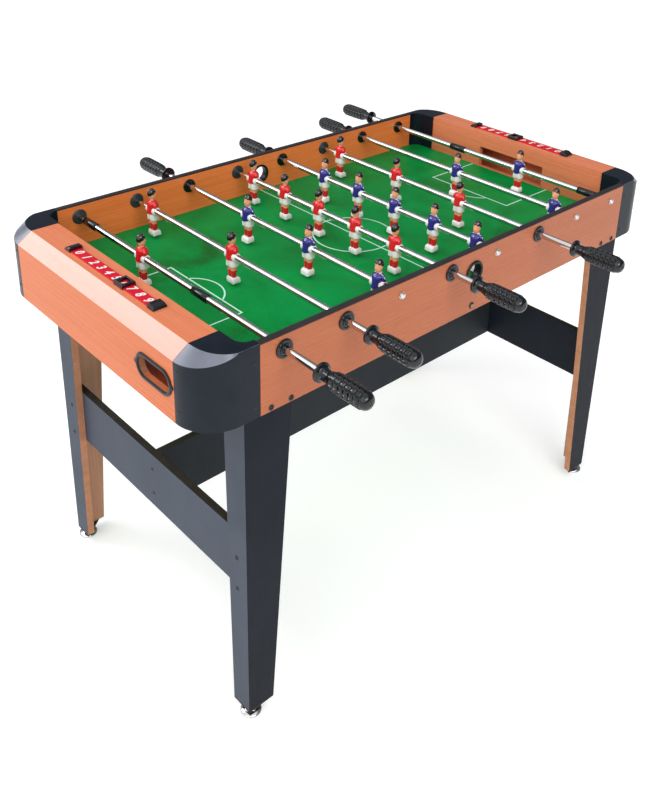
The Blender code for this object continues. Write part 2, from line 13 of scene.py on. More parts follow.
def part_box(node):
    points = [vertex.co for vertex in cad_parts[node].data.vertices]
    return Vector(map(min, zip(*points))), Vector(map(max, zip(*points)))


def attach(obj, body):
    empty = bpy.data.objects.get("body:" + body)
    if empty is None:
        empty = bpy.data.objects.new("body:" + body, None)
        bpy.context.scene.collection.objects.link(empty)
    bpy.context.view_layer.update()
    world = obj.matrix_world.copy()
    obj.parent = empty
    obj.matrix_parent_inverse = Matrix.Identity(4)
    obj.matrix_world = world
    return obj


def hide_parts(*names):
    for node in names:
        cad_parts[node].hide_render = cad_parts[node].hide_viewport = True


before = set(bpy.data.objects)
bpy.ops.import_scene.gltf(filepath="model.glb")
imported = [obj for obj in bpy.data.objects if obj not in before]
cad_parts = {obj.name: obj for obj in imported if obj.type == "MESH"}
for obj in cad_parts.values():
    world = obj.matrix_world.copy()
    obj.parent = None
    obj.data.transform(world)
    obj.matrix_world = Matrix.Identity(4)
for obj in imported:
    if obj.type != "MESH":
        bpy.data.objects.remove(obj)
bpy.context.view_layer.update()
MM = 0.001
GAP = 0.0003                       # clearance that keeps neighbouring pieces apart

# Rods by number of men: distance between men, from the middle man to the handle's flange, to the free end.
ROW = {1: (0.000, 0.489, 0.2095), 2: (0.269, 0.498, 0.1500),
       3: (0.186, 0.475, 0.2015), 5: (0.109, 0.417, 0.2335)}
ROWS = [("red", "goalie", 1), ("red", "defence", 2), ("blue", "attack", 3), ("red", "midfield", 5),
        ("blue", "midfield", 5), ("red", "attack", 3), ("blue", "defence", 2), ("blue", "goalie", 1)]
ENDS = {"left": -1, "right": 1}
SIDES = {"near": -1, "far": 1}
TUBE_R = 0.00635

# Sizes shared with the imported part.
HALF_L, HALF_W, TOP_Z, SKIRT_Z, FIELD_Z, WALL = 0.605, 0.325, 0.780, 0.650, 0.693, 0.012
GOAL_X, SIDE_IN = 0.524, HALF_W - WALL
CAP_END, CAP_SIDE, CAP_FILLET, CAP_SKIN, CAP_SCREW_Y = 0.070, 0.1075, 0.022, 0.0027, 0.264
CHAMFER_X, CHAMFER_Z, CHAMFER_END = 0.028, 0.020, 0.04
RETURN_LONG, RETURN_HIGH = 0.046, 0.0195
LINE_WIDE, LINE_THICK = 0.0030, 0.00015
CIRCLE_R, BOX_X, BOX_HALF, ARC_X, ARC_HALF = 0.084, 0.373, 0.114, 0.343, 0.054
SCORE_X, SCORE_PITCH, SCORE_WIDE, SCORE_HALF, SCORE_THICK = 0.5545, 0.0249, 0.021, 0.1285, 0.0025
SLIDER_LONG, SLIDER_WIDE, SLIDER_HIGH, WINDOW, DIGIT_HIGH = 0.0140, 0.0130, 0.0085, 0.0085, 0.0160
SLEEVE_AT, SLEEVE_HALF, SLEEVE_R = 0.185, 0.0225, 0.0079
HUB_R = 0.0084                     # white clamp of a man round the tube
RIBS = 10                          # rows of blocks round a handle
LEG_X, LEG_Y, LEG_BOARD, LEG_LOW, LEG_PLATE, LEG_TOP = 0.520, 0.3125, 0.015, 0.0205, 0.004, 0.688
LEG_END_TOP, LEG_END_LOW, LEG_SIDE_TOP, LEG_SIDE_LOW = 0.056, 0.045, 0.099, 0.055
MAN_BUILD = [(-0.0550, 1.26, 1.24), (-0.0440, 1.26, 1.28), (-0.0405, 1.12, 1.20), (-0.0200, 1.18, 1.18),
             (-0.0100, 1.26, 1.15), (0.0170, 1.26, 1.15), (0.0225, 1.06, 1.04), (0.0480, 1.06, 1.04)]
SKY = [(0.0, (0.12, 0.13, 0.15)), (0.70, (0.20, 0.21, 0.24)), (0.86, (1, 1, 1)), (1.0, (1, 1, 1))]
SKY_LEAN, SKY_STRENGTH = -0.36, 1.15
CAMERA_AT, YAW, PITCH, ROLL = (-1.225, -1.269, 1.517), 0.8025, -0.3897, 0.0324
LENS, SHIFT_X, SHIFT_Y = 41.45, -0.040, -0.2646


# ---- mesh helpers --------------------------------------------------------------------------------
def mm(rows):
    """Rows of millimetres in metres."""
    return [tuple(value * MM for value in row) for row in rows]


def off(face, rows):
    """Points of a turned profile from (radius, height off a face) in millimetres."""
    return [(radius * MM, face + height * MM) for radius, height in rows]


def facing(profile, sign):
    """A turned profile's points on the side of the origin that sign says."""
    return [(radius, sign * along) for radius, along in profile]


def placed(name, data, place=None):
    """A new object in the scene, at a place if one is given."""
    obj = bpy.data.objects.new(name, data)
    if place is not None:
        obj.matrix_world = place
    bpy.context.scene.collection.objects.link(obj)
    return obj


def piece(name, verts, faces, mats, smooth=30, bevel=0.0, segments=2, indices=None):
    """A mesh object whose faces look outwards, with its materials, shading and an optional bevel."""
    mesh = bpy.data.meshes.new(name)
    mesh.from_pydata([tuple(v) for v in verts], [], faces)
    for mat in mats if isinstance(mats, (list, tuple)) else [mats]:
        mesh.materials.append(mat)
    if indices:
        mesh.polygons.foreach_set("material_index", indices)
    bm = bmesh.new()
    bm.from_mesh(mesh)
    bmesh.ops.recalc_face_normals(bm, faces=bm.faces)
    bm.to_mesh(mesh)
    bm.free()
    mesh.shade_smooth()
    mesh.set_sharp_from_angle(angle=radians(smooth))
    obj = placed(name, mesh)
    if bevel:
        soften(obj, bevel, segments)
    return obj


def soften(obj, width, segments=2, angle=32):
    """Rounds an object's sharp edges."""
    step = obj.modifiers.new("rounded_edges", "BEVEL")
    step.width = width
    step.segments = segments
    step.limit_method = "ANGLE"
    step.angle_limit = radians(angle)
    step.harden_normals = True


def loft(sections, closed=False):
    """Points and faces through equal rings of points, capped at both ends unless the rings close a loop."""
    count = len(sections[0])
    verts = [p for ring in sections for p in ring]
    faces = [] if closed else [list(range(count)), list(range(len(verts) - count, len(verts)))]
    for row in range(len(sections) - (0 if closed else 1)):
        low, high = row * count, (row + 1) % len(sections) * count
        for i in range(count):
            j = (i + 1) % count
            faces.append([low + i, low + j, high + j, high + i])
    return verts, faces


def box(x0, x1, y0, y1, z0, z1):
    return loft([[(x0, y0, z), (x1, y0, z), (x1, y1, z), (x0, y1, z)] for z in (z0, z1)])


def turned(profile, sides=48, axis="Y", centre=(0, 0, 0), shape=None):
    """Points and faces turned round an axis from (radius, distance along it) points.

    Radius 0 closes an end; a profile that starts off the axis is a closed ring. shape(angle, radius, along)
    gives another radius.
    """
    rings, verts, faces = [], [], []
    for radius, along in profile:
        ring = []
        for i in range(1 if radius == 0 else sides):
            angle = 2 * pi * i / sides
            r = shape(angle, radius, along) if shape and radius else radius
            a, b = r * cos(angle), r * sin(angle)
            point = {"X": (along, a, b), "Y": (a, along, b), "Z": (a, b, along)}[axis]
            ring.append(len(verts))
            verts.append(tuple(p + c for p, c in zip(point, centre)))
        rings.append(ring)
    pairs = list(zip(rings, rings[1:])) + ([(rings[-1], rings[0])] if profile[0][0] > 0 else [])
    for low, high in pairs:
        for i in range(sides):
            j = (i + 1) % sides
            if len(low) == 1:
                faces.append([low[0], high[j], high[i]])
            elif len(high) == 1:
                faces.append([low[i], low[j], high[0]])
            else:
                faces.append([low[i], low[j], high[j], high[i]])
    return verts, faces


def merged(parts):
    """One list of points and faces, with a material index for each face, from (verts, faces, index) parts."""
    verts, faces, indices = [], [], []
    for part_verts, part_faces, index in parts:
        base = len(verts)
        verts += list(part_verts)
        faces += [[base + i for i in face] for face in part_faces]
        indices += [index] * len(part_faces)
    return verts, faces, indices


def oval(half_length, half_height, x, y, z, sides=64):
    """A long round-ended outline in a plane across X."""
    straight = half_length - half_height
    points = []
    for i in range(sides):
        angle = 2 * pi * (i + 0.5) / sides
        shift = straight if cos(angle) > 0 else -straight
        points.append((x, y + shift + half_height * cos(angle), z + half_height * sin(angle)))
    return points


# ---- materials -----------------------------------------------------------------------------------
class Look:
    """One material and short ways to add the nodes it needs."""

    def __init__(self, name, rough=0.5, metal=0.0, coat=0.0, specular=0.5, ior=1.5):
        self.material = bpy.data.materials.new(name)
        self.material.use_nodes = True
        self.tree = self.material.node_tree
        self.shader = self.tree.nodes["Principled BSDF"]
        values = {"Roughness": rough, "Metallic": metal, "Coat Weight": coat, "Coat Roughness": 0.1,
                  "Specular IOR Level": specular, "IOR": ior}
        for socket, value in values.items():
            self.shader.inputs[socket].default_value = value
        self.coords = self.tree.nodes.new("ShaderNodeTexCoord")

    def feed(self, made, sources):
        """Gives a node's sockets other nodes' outputs or plain values."""
        for socket, source in sources.items():
            if hasattr(source, "is_linked"):
                self.tree.links.new(source, made.inputs[socket])
            else:
                made.inputs[socket].default_value = source
        return made

    def node(self, kind, sources=None, **values):
        made = self.tree.nodes.new(kind)
        for key, value in values.items():
            setattr(made, key, value)
        return self.feed(made, sources or {})

    def stretched(self, scale):
        """Object coordinates scaled differently along each axis."""
        return self.node("ShaderNodeMapping", {"Vector": self.coords.outputs["Object"],
                                               "Scale": scale}).outputs[0]

    def noise(self, vector, scale=1.0, detail=3.0, rough=0.5, distortion=0.0):
        return self.node("ShaderNodeTexNoise", {"Vector": vector, "Scale": scale, "Detail": detail,
                                                "Roughness": rough, "Distortion": distortion}).outputs["Fac"]

    def ramp(self, value, stops):
        """Colours along a 0 to 1 value; stops are (place, colour)."""
        made = self.node("ShaderNodeValToRGB", {"Fac": value})
        ramp = made.color_ramp
        while len(ramp.elements) < len(stops):
            ramp.elements.new(0.5)
        for element, (place, colour) in zip(ramp.elements, stops):
            element.position = place
            element.color = (*colour, 1) if len(colour) == 3 else colour
        return made.outputs["Color"]

    def span(self, value, low, high, to_low, to_high):
        """Maps a value's range to another, kept inside it."""
        return self.node("ShaderNodeMapRange", {"Value": value, "From Min": low, "From Max": high,
                                                "To Min": to_low, "To Max": to_high}).outputs[0]

    def mix(self, share, under, over):
        """Lays a plain colour over another node's colour."""
        return self.node("ShaderNodeMix", {0: share, 6: under, 7: (*over, 1)},
                         data_type="RGBA", blend_type="MIX").outputs[2]

    def math(self, operation, a, b):
        return self.node("ShaderNodeMath", {0: a, 1: b}, operation=operation).outputs[0]

    def blend(self, a, b, share):
        """The sum of a value's share and the rest of another."""
        return self.math("ADD", self.math("MULTIPLY", a, share), self.math("MULTIPLY", b, 1 - share))

    def colour(self, source):
        self.tree.links.new(source, self.shader.inputs["Base Color"])

    def rough(self, source):
        self.tree.links.new(source, self.shader.inputs["Roughness"])

    def bump(self, height, strength=0.2, distance=0.0002):
        made = self.node("ShaderNodeBump", {"Height": height, "Strength": strength, "Distance": distance})
        self.tree.links.new(made.outputs[0], self.shader.inputs["Normal"])


def wood(name, along, light, mid, dark, rough=0.26, grain=1.0, specular=0.32):
    """Printed wood laminate: broad figure, long fine streaks and short dark pores along one axis."""
    look = Look(name, specular=specular, ior=1.45)

    def scale(lengthwise, across):
        return tuple(lengthwise if i == "XYZ".index(along) else across for i in range(3))

    figure = look.noise(look.stretched(scale(1.3, 16)), 1.0, 4.0, 0.55, 0.9)
    streaks = look.noise(look.stretched(scale(3.5, 190)), 1.0, 5.0, 0.6, 0.4)
    pores = look.noise(look.stretched(scale(26, 900)), 1.0, 2.0, 0.5)
    tone = look.blend(figure, streaks, 0.55)
    base = look.ramp(tone, [(0.36, dark), (0.50, mid), (0.64, light)])
    pore_share = look.span(pores, 0.60, 0.72, 0.0, 0.30 * grain)
    look.colour(look.mix(pore_share, base, tuple(c * 0.45 for c in dark)))
    look.rough(look.span(streaks, 0.3, 0.7, rough - 0.06, rough + 0.08))
    look.bump(look.math("SUBTRACT", streaks, look.math("MULTIPLY", pore_share, 0.8)), 0.12, 0.00012)
    return look.material


def plastic(name, colour, rough=0.3, coat=0.0, vary=0.06, grain=0.0, grain_scale=2500, specular=0.5):
    """Moulded plastic: a slow drift in tone, fine flow marks and, where textured, a pebbled surface."""
    look = Look(name, rough=rough, coat=coat, specular=specular)
    drift = look.noise(look.stretched((22, 22, 22)), 1.0, 3.0, 0.55, 0.3)
    fleck = look.noise(look.stretched((grain_scale * 0.4,) * 3), 1.0, 2.0, 0.5)
    tone = look.blend(drift, fleck, 0.7)
    low = tuple(max(c * (1 - vary) - 0.001, 0) for c in colour)
    high = tuple(min(c * (1 + vary) + 0.002, 1) for c in colour)
    look.colour(look.ramp(tone, [(0.32, low), (0.5, colour), (0.68, high)]))
    look.rough(look.span(drift, 0.3, 0.7, max(rough - 0.04, 0.03), rough + 0.05))
    pebbles = look.noise(look.stretched((grain_scale,) * 3), 1.0, 2.0, 0.6)
    look.bump(look.math("ADD", pebbles, look.math("MULTIPLY", drift, 0.6)), 0.06 + grain, 0.00008)
    return look.material


def metal(name, colour, rough, along=(40, 40, 40), vary=0.05):
    """Plated steel with faint polishing marks."""
    look = Look(name, rough=rough, metal=1.0)
    marks = look.noise(look.stretched(along), 1.0, 4.0, 0.6)
    look.colour(look.ramp(marks, [(0.3, tuple(c * (1 - vary) for c in colour)), (0.7, colour)]))
    look.rough(look.span(marks, 0.3, 0.7, rough * 0.75, rough * 1.35))
    look.bump(marks, 0.03, 0.00003)
    return look.material


def board_paper(name, light, dark, rough=0.5):
    """Slate-coloured foil on board with an embossed vertical grain."""
    look = Look(name, specular=0.12)
    cloud = look.noise(look.stretched((9, 9, 6)), 1.0, 4.0, 0.6, 0.5)
    emboss = look.noise(look.stretched((420, 420, 38)), 1.0, 4.0, 0.6, 0.3)
    tone = look.blend(cloud, emboss, 0.55)
    look.colour(look.ramp(tone, [(0.36, dark), (0.64, light)]))
    look.rough(look.span(emboss, 0.3, 0.7, rough - 0.06, rough + 0.08))
    look.bump(emboss, 0.22, 0.00015)
    return look.material


def raw_board(name, light, dark):
    """Sawn particle board edge: coarse and fine chips."""
    look = Look(name, rough=0.75)
    chips = look.noise(look.stretched((520, 520, 520)), 1.0, 3.0, 0.65)
    patches = look.noise(look.stretched((60, 60, 60)), 1.0, 3.0, 0.6)
    tone = look.blend(chips, patches, 0.6)
    look.colour(look.ramp(tone, [(0.36, dark), (0.62, light)]))
    look.bump(chips, 0.35, 0.0003)
    return look.material


def field_green():
    """Printed playing surface: mown patches, fine turf speckle and a satin lacquer."""
    look = Look("field_green", specular=0.35, ior=1.2)
    patches = look.noise(look.stretched((5.5, 5.5, 5.5)), 1.0, 5.0, 0.6, 0.8)
    turf = look.noise(look.stretched((240, 300, 240)), 1.0, 4.0, 0.7)
    tone = look.blend(patches, turf, 0.7)
    look.colour(look.ramp(tone, [(0.34, (0.010, 0.115, 0.018)), (0.46, (0.002, 0.225, 0.040)),
                                 (0.60, (0.001, 0.290, 0.060))]))
    look.rough(look.span(turf, 0.3, 0.7, 0.30, 0.42))
    look.bump(turf, 0.10, 0.0001)
    return look.material


def floor_look():
    look = Look("pale_floor", rough=0.6, specular=0.2)
    cloud = look.noise(look.stretched((1.5, 1.5, 1.5)), 1.0, 3.0, 0.5)
    look.colour(look.ramp(cloud, [(0.3, (0.90, 0.90, 0.90)), (0.7, (0.93, 0.93, 0.93))]))
    look.shader.inputs["Emission Color"].default_value = (1, 1, 1, 1)
    look.shader.inputs["Emission Strength"].default_value = 0.30
    return look.material


# side panels' wood: the end panels' laminate darkened as painted shade of the side faces
WOOD_X_SHADED = wood("wood_grain_lengthwise_painted_shade", "X", (0.46, 0.138, 0.057), (0.445, 0.131, 0.053),
              (0.425, 0.122, 0.048))
# inner faces of the side panels: the same wood brightened as painted light
WOOD_IN_LIT = wood("wood_grain_inside_painted_light", "X", (0.94, 0.245, 0.064), (0.89, 0.225, 0.057), (0.81, 0.195, 0.048))
WOOD_Y = wood("wood_grain_across", "Y", (0.71, 0.222, 0.107), (0.67, 0.201, 0.093), (0.61, 0.174, 0.078))
# outer end faces: the end panels' wood darkened as painted shade
WOOD_END_SHADED = wood("wood_grain_end_painted_shade", "Y", (0.63, 0.185, 0.078), (0.60, 0.170, 0.069), (0.56, 0.150, 0.058),
                specular=0.10)
# chamfer: the same wood made pale as a painted highlight
WOOD_CHAMFER_HIGHLIGHT = wood("wood_grain_chamfer_painted_highlight", "Y", (0.72, 0.39, 0.32), (0.68, 0.36, 0.29), (0.63, 0.32, 0.25))
BROWN = wood("brown_foil", "Z", (0.53, 0.275, 0.165), (0.46, 0.232, 0.138), (0.37, 0.180, 0.104), 0.5, 0.5)
SLATE = board_paper("slate_foil", (0.062, 0.076, 0.102), (0.045, 0.056, 0.077))
# slate foil darkened as painted shade: inner faces of the end stretchers and outer faces of the leg side boards
SLATE_SHADED = board_paper("slate_foil_painted_shade", (0.010, 0.013, 0.021), (0.006, 0.008, 0.014))
# long stretcher: slate foil darkened as painted shade
SLATE_LONG_SHADED = board_paper("slate_foil_long_painted_shade", (0.024, 0.029, 0.035), (0.016, 0.020, 0.026))
DARK_EDGE = raw_board("dark_edge", (0.030, 0.018, 0.014), (0.008, 0.006, 0.005))
RAW_EDGE = raw_board("raw_edge", (0.50, 0.225, 0.115), (0.34, 0.140, 0.070))
CAP = plastic("cap_plastic", (0.005, 0.009, 0.016), rough=0.34, vary=0.15, grain=0.06, grain_scale=2200,
              specular=0.20)
# cap shoulder: the cap's plastic made lighter blue-grey as a painted highlight
CAP_SHOULDER_HIGHLIGHT = plastic("cap_shoulder_painted_highlight", (0.13, 0.143, 0.188), rough=0.28, vary=0.10, grain=0.04)
TRIM = plastic("trim_plastic", (0.026, 0.021, 0.024), rough=0.42, vary=0.15, grain=0.08, specular=0.25)
GLOSS_BLACK = plastic("gloss_black_plastic", (0.003, 0.0045, 0.007), rough=0.12, vary=0.2, specular=0.5)
SATIN_BLACK = plastic("satin_black_plastic", (0.006, 0.007, 0.008), rough=0.30, vary=0.2, grain=0.05,
                      specular=0.25)
RUBBER = plastic("bumper_rubber", (0.032, 0.036, 0.041), rough=0.40, vary=0.2, grain=0.1)
CHROME = metal("chrome_plate", (0.63, 0.63, 0.64), 0.035, along=(60, 6, 60))
ZINC = metal("zinc_plate", (0.72, 0.73, 0.74), 0.24, along=(300, 300, 300), vary=0.12)
BLACK_BOLT = metal("black_oxide", (0.06, 0.06, 0.065), 0.35, along=(300, 300, 300), vary=0.2)
BRASS_BOLT = metal("bronzed_plate", (0.42, 0.33, 0.20), 0.32, along=(300, 300, 300), vary=0.15)
SCORE_RED = plastic("score_strip_red", (0.60, 0.004, 0.020), rough=0.32, vary=0.08, specular=0.25)
PAINT_WHITE = plastic("paint_white", (0.84, 0.84, 0.83), rough=0.4, vary=0.04)
LINE_WHITE = plastic("field_line", (0.56, 0.82, 0.74), rough=0.4, vary=0.05)
SHIRT = {"red": plastic("shirt_red", (0.66, 0.012, 0.018), rough=0.25, coat=0.3, vary=0.10),
         "blue": plastic("shirt_blue", (0.022, 0.020, 0.205), rough=0.25, coat=0.3, vary=0.12)}
SOCK_RED = plastic("sock_red", (0.60, 0.008, 0.016), rough=0.3, coat=0.2, vary=0.10)
WHITE = plastic("kit_white", (0.80, 0.81, 0.80), rough=0.28, coat=0.2, vary=0.05)
SKIN = plastic("figure_skin", (0.86, 0.40, 0.23), rough=0.34, vary=0.06)
HAIR = plastic("figure_hair", (0.006, 0.007, 0.010), rough=0.16, coat=0.4, vary=0.3)


def mount(obj, slot, body, *nodes):
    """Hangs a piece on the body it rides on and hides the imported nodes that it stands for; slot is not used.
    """
    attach(obj, body)
    if nodes:
        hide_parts(*nodes)
    return obj


# ---- cabinet -------------------------------------------------------------------------------------
def finish_node(name, mat, bevel=0.0007):
    """Gives a packed board its material, with edges a little rounded."""
    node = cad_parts[name]
    node.data.materials.clear()
    node.data.materials.append(mat)
    weld = node.modifiers.new("weld", "WELD")
    weld.merge_threshold = 0.00001
    if bevel:
        soften(node, bevel)
    return node


def face_material(node, mat, way, near=0.9):
    """Gives the faces of a board that look one way a second material."""
    node.data.materials.append(mat)
    index = len(node.data.materials) - 1
    for polygon in node.data.polygons:
        if polygon.normal.dot(Vector(way)) > near:
            polygon.material_index = index


def hole_material(node, mat, z, reach):
    """Gives the wall of a hole that runs along X its own material."""
    node.data.materials.append(mat)
    index = len(node.data.materials) - 1
    for polygon in node.data.polygons:
        at = node.matrix_world @ polygon.center
        if abs(polygon.normal.x) < 0.4 and abs(at.z - z) < reach:
            polygon.material_index = index


def cabinet():
    finish_node("playfield", field_green(), 0)
    for side, sign in SIDES.items():
        # side panels: outer faces in wood darkened as painted shade, inner faces in wood brightened as painted
        # light
        face_material(finish_node(f"side_panel_{side}", WOOD_X_SHADED), WOOD_IN_LIT, (0, -sign, 0))
        finish_node(f"edge_trim_{side}", TRIM, 0.0005)
    for end, sign in ENDS.items():
        panel = finish_node(f"end_panel_{end}", WOOD_Y)
        # outer end faces get the wood copy darkened as painted shade
        face_material(panel, WOOD_END_SHADED, (sign, 0, 0))
        # the sloping chamfer faces get the pale wood as a painted highlight
        slope = Vector((sign * CHAMFER_Z, 0, CHAMFER_X)).normalized()
        face_material(panel, WOOD_CHAMFER_HIGHLIGHT, slope, 0.99)
        low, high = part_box(f"ball_return_bezel_{end}")
        hole_material(panel, RAW_EDGE, (low.z + high.z) / 2, 0.018)
        finish_node(f"goal_wall_{end}", WOOD_Y)
        stretcher = finish_node(f"end_stretcher_{end}", SLATE)
        face_material(stretcher, DARK_EDGE, (0, 0, 1))
        # inward faces of the end stretchers get the slate darkened as painted shade
        face_material(stretcher, SLATE_SHADED, (-sign, 0, 0))
    # the long stretcher's slate is darkened as painted shade
    face_material(finish_node("long_stretcher", SLATE_LONG_SHADED), DARK_EDGE, (0, 0, 1))


def field_lines():
    """Printed lines: halfway line, centre circle, and at each end a penalty box with its arc."""
    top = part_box("playfield")[1].z
    low, high, wide = top - 0.0001, top + LINE_THICK, LINE_WIDE
    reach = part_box("playfield")[1].y - 0.0005
    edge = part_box("playfield")[1].x - 0.0005
    parts = []

    def strip(x0, x1, y0, y1):
        parts.append((*box(x0, x1, y0, y1, low, high), 0))

    def arc(x, radius, start, end, steps):
        rings = []
        for i in range(steps + 1):
            angle = start + (end - start) * i / steps
            rings.append([(x + r * cos(angle), r * sin(angle), z)
                          for r, z in ((radius - wide / 2, low), (radius + wide / 2, low),
                                       (radius + wide / 2, high), (radius - wide / 2, high))])
        parts.append((*loft(rings), 0))

    for way in (-1, 1):
        strip(-wide / 2, wide / 2, *sorted((way * (CIRCLE_R + wide / 2), way * reach)))
    strip(-wide / 2, wide / 2, -CIRCLE_R + wide / 2, CIRCLE_R - wide / 2)
    arc(0, CIRCLE_R, 0, 2 * pi * 0.9999, 120)
    for sign in ENDS.values():
        box_x = sign * BOX_X
        strip(*sorted((box_x - sign * wide / 2, box_x + sign * wide / 2)), -BOX_HALF, BOX_HALF)
        for way in (-1, 1):
            y = way * (BOX_HALF - wide / 2)
            strip(*sorted((box_x + sign * wide / 2, sign * edge)), y - wide / 2, y + wide / 2)
        bulge = BOX_X - ARC_X
        radius = (ARC_HALF ** 2 + bulge ** 2) / (2 * bulge)
        half = atan2(ARC_HALF, radius - bulge)
        middle = pi if sign > 0 else 0
        arc(sign * (ARC_X + radius), radius, middle - half, middle + half, 48)
    verts, faces, indices = merged(parts)
    mount(piece("field_lines", verts, faces, LINE_WHITE, indices=indices), "green_field", "table")


def corner_cap(end, sx, side, sy):
    """Moulded cap: rounded wall, sloping shoulder that narrows round the corner, flat top and inner skin."""
    centre = Vector((HALF_L - CAP_END, HALF_W - CAP_END))
    inner_x, inner_y = GOAL_X - GAP, SIDE_IN - GAP
    fillet = Vector((inner_x - CAP_SKIN - CAP_FILLET, inner_y - CAP_SKIN - CAP_FILLET))
    along_x, along_y = Vector((1, 0)), Vector((0, 1))
    stations = [(centre + along_x * CAP_END, along_x, Vector((inner_x - CAP_SKIN, centre.y)))]
    steps = 48                         # outer point, outward direction, inner point
    for step in range(1, steps + 1):
        angle = step / steps * pi / 2
        out = Vector((cos(angle), sin(angle)))
        stations.append((centre + out * CAP_END, out, fillet + out * CAP_FILLET))
    last = HALF_L - CAP_SIDE
    stations.append((Vector((last, HALF_W)), along_y, Vector((last, inner_y - CAP_SKIN))))
    rings = []
    for outer, out, inner in stations:
        wide = CHAMFER_X * max(out.x, CHAMFER_END) ** 1.2
        drop = CHAMFER_Z * max(out.x, CHAMFER_END) ** 0.7 if out.x > CHAMFER_END else CHAMFER_Z * CHAMFER_END
        top, wall, behind = outer - out * wide, outer - out * 0.0030, inner + out * CAP_SKIN
        low = outer - out * max(wide + 0.0014, 0.0044)
        ring = [(*outer, SKIRT_Z), (*outer, TOP_Z - drop), (*top, TOP_Z), (*inner, TOP_Z),
                (*inner, FIELD_Z + GAP), (*behind, FIELD_Z + GAP), (*behind, TOP_Z - 0.003),
                (*low, TOP_Z - 0.003), (*wall, TOP_Z - drop - 0.0022), (*wall, SKIRT_Z)]
        rings.append([(sx * x, sy * y, z) for x, y, z in ring])
    verts, faces = loft(rings)
    # the sloping shoulder faces get the lighter plastic as a painted highlight
    indices = [0, 0] + [int(i == 1) for _ in rings[1:] for i in range(len(rings[0]))]
    cap = piece(f"corner_cap_{end}_{side}_shell", verts, faces, [CAP, CAP_SHOULDER_HIGHLIGHT], 22, 0.0005,
                indices=indices)
    mount(cap, "black_moulding", "table", f"corner_cap_{end}_{side}")


def ball_entry_cup(side, sign):
    """A rolled flange round the hole and a thin sleeve through the panel."""
    low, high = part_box(f"ball_entry_cup_{side}")
    centre = (low + high) / 2
    profile = (off(SIDE_IN, [(17.6, -1.0)])
               + off(HALF_W, [(17.2, -4.0), (17.2, 1.2), (18.2, 2.8), (20.4, 3.4), (22.2, 2.9), (23.2, 1.7),
                              (23.4, 0.4), (19.2, 0.4)])
               + off(SIDE_IN, [(19.2, -0.4), (22.6, -0.4), (22.2, -2.0), (20.0, -2.8), (18.4, -2.4)]))
    cup = piece(f"entry_cup_{side}", *turned(facing(profile, sign), 72, "Y", (centre.x, 0, centre.z)),
                SATIN_BLACK, 40)
    mount(cup, "gloss_black", "table", f"ball_entry_cup_{side}")


def ball_return_bezel(end, sign):
    """An oval frame with a rounded face round the hole in the panel, and a screw lug at each end."""
    low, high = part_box(f"ball_return_bezel_{end}")
    y, z = (low.y + high.y) / 2, (low.z + high.z) / 2
    face = HALF_L + GAP
    profile = off(face, [(-2.6, 0), (4.2, 0), (4.4, 0.9), (3.8, 1.8), (2.4, 2.4), (-0.6, 2.4), (-2.0, 1.8),
                         (-2.6, 0.9)])
    rings = [oval(RETURN_LONG + grow, RETURN_HIGH + grow, sign * x, y, z, 96) for grow, x in profile]
    parts = [(*loft(rings, closed=True), 0)]
    lug = off(face, [(0, 0), (5.0, 0), (5.2, 0.8), (4.5, 1.8), (0, 1.8)])
    for way in (-1, 1):
        spot = (0, y + way * (RETURN_LONG + 0.0030), z)
        parts.append((*turned(facing(lug, sign), 32, "X", spot), 0))
    verts, faces, _ = merged(parts)
    bezel = piece(f"return_bezel_{end}", verts, faces, SATIN_BLACK, 38)
    mount(bezel, "black_moulding", "table", f"ball_return_bezel_{end}")
    for number, way in enumerate((-1, 1)):
        spot = Vector((sign * (face + 0.0017), y + way * (RETURN_LONG + 0.0040), z))
        screw(f"bezel_screw_{end}_{number}", spot, Vector((sign, 0, 0)), 0.0024, BLACK_BOLT, "black_moulding")


# ---- screws --------------------------------------------------------------------------------------
def screw_mesh(mat):
    """A pan head of radius 1 with a cross recess, facing +Z."""
    def height(x, y):
        r = hypot(x, y)
        dome = 0.16 + 0.36 * max(1 - r * r, 0) ** 0.5
        arm = min(abs(x), abs(y)) < 0.13 and r < 0.62
        return dome - (0.34 * (1 - 0.5 * r / 0.62) if arm else 0)

    verts, faces, sides = [(0, 0, height(0, 0))], [], 48
    radii = [0.08, 0.16, 0.26, 0.36, 0.46, 0.56, 0.62, 0.66, 0.76, 0.86, 0.94, 1.0]
    for r in radii:
        verts += [(r * cos(2 * pi * i / sides), r * sin(2 * pi * i / sides),
                   height(r * cos(2 * pi * i / sides), r * sin(2 * pi * i / sides))) for i in range(sides)]
    verts += [(cos(2 * pi * i / sides), sin(2 * pi * i / sides), 0) for i in range(sides)]
    faces += [[0, 1 + i, 1 + (i + 1) % sides] for i in range(sides)]
    for row in range(len(radii)):
        for i in range(sides):
            a, b = 1 + row * sides + i, 1 + row * sides + (i + 1) % sides
            faces.append([a, a + sides, b + sides, b])
    faces.append([1 + len(radii) * sides + i for i in range(sides)])
    return piece("screw_source", verts, faces, mat, 35)


SCREWS = {}


def screw(name, spot, normal, radius, mat, slot, body="table"):
    """A pan head screw seated on a face; screws of one material share a mesh."""
    if mat.name not in SCREWS:
        source = screw_mesh(mat)
        SCREWS[mat.name] = source.data
        bpy.data.objects.remove(source)
    turn = normal.to_track_quat("Z", "Y").to_matrix().to_4x4()
    place = Matrix.Translation(spot) @ turn @ Matrix.Diagonal((radius, radius, radius * 0.8, 1))
    return mount(placed(name, SCREWS[mat.name], place), slot, body)


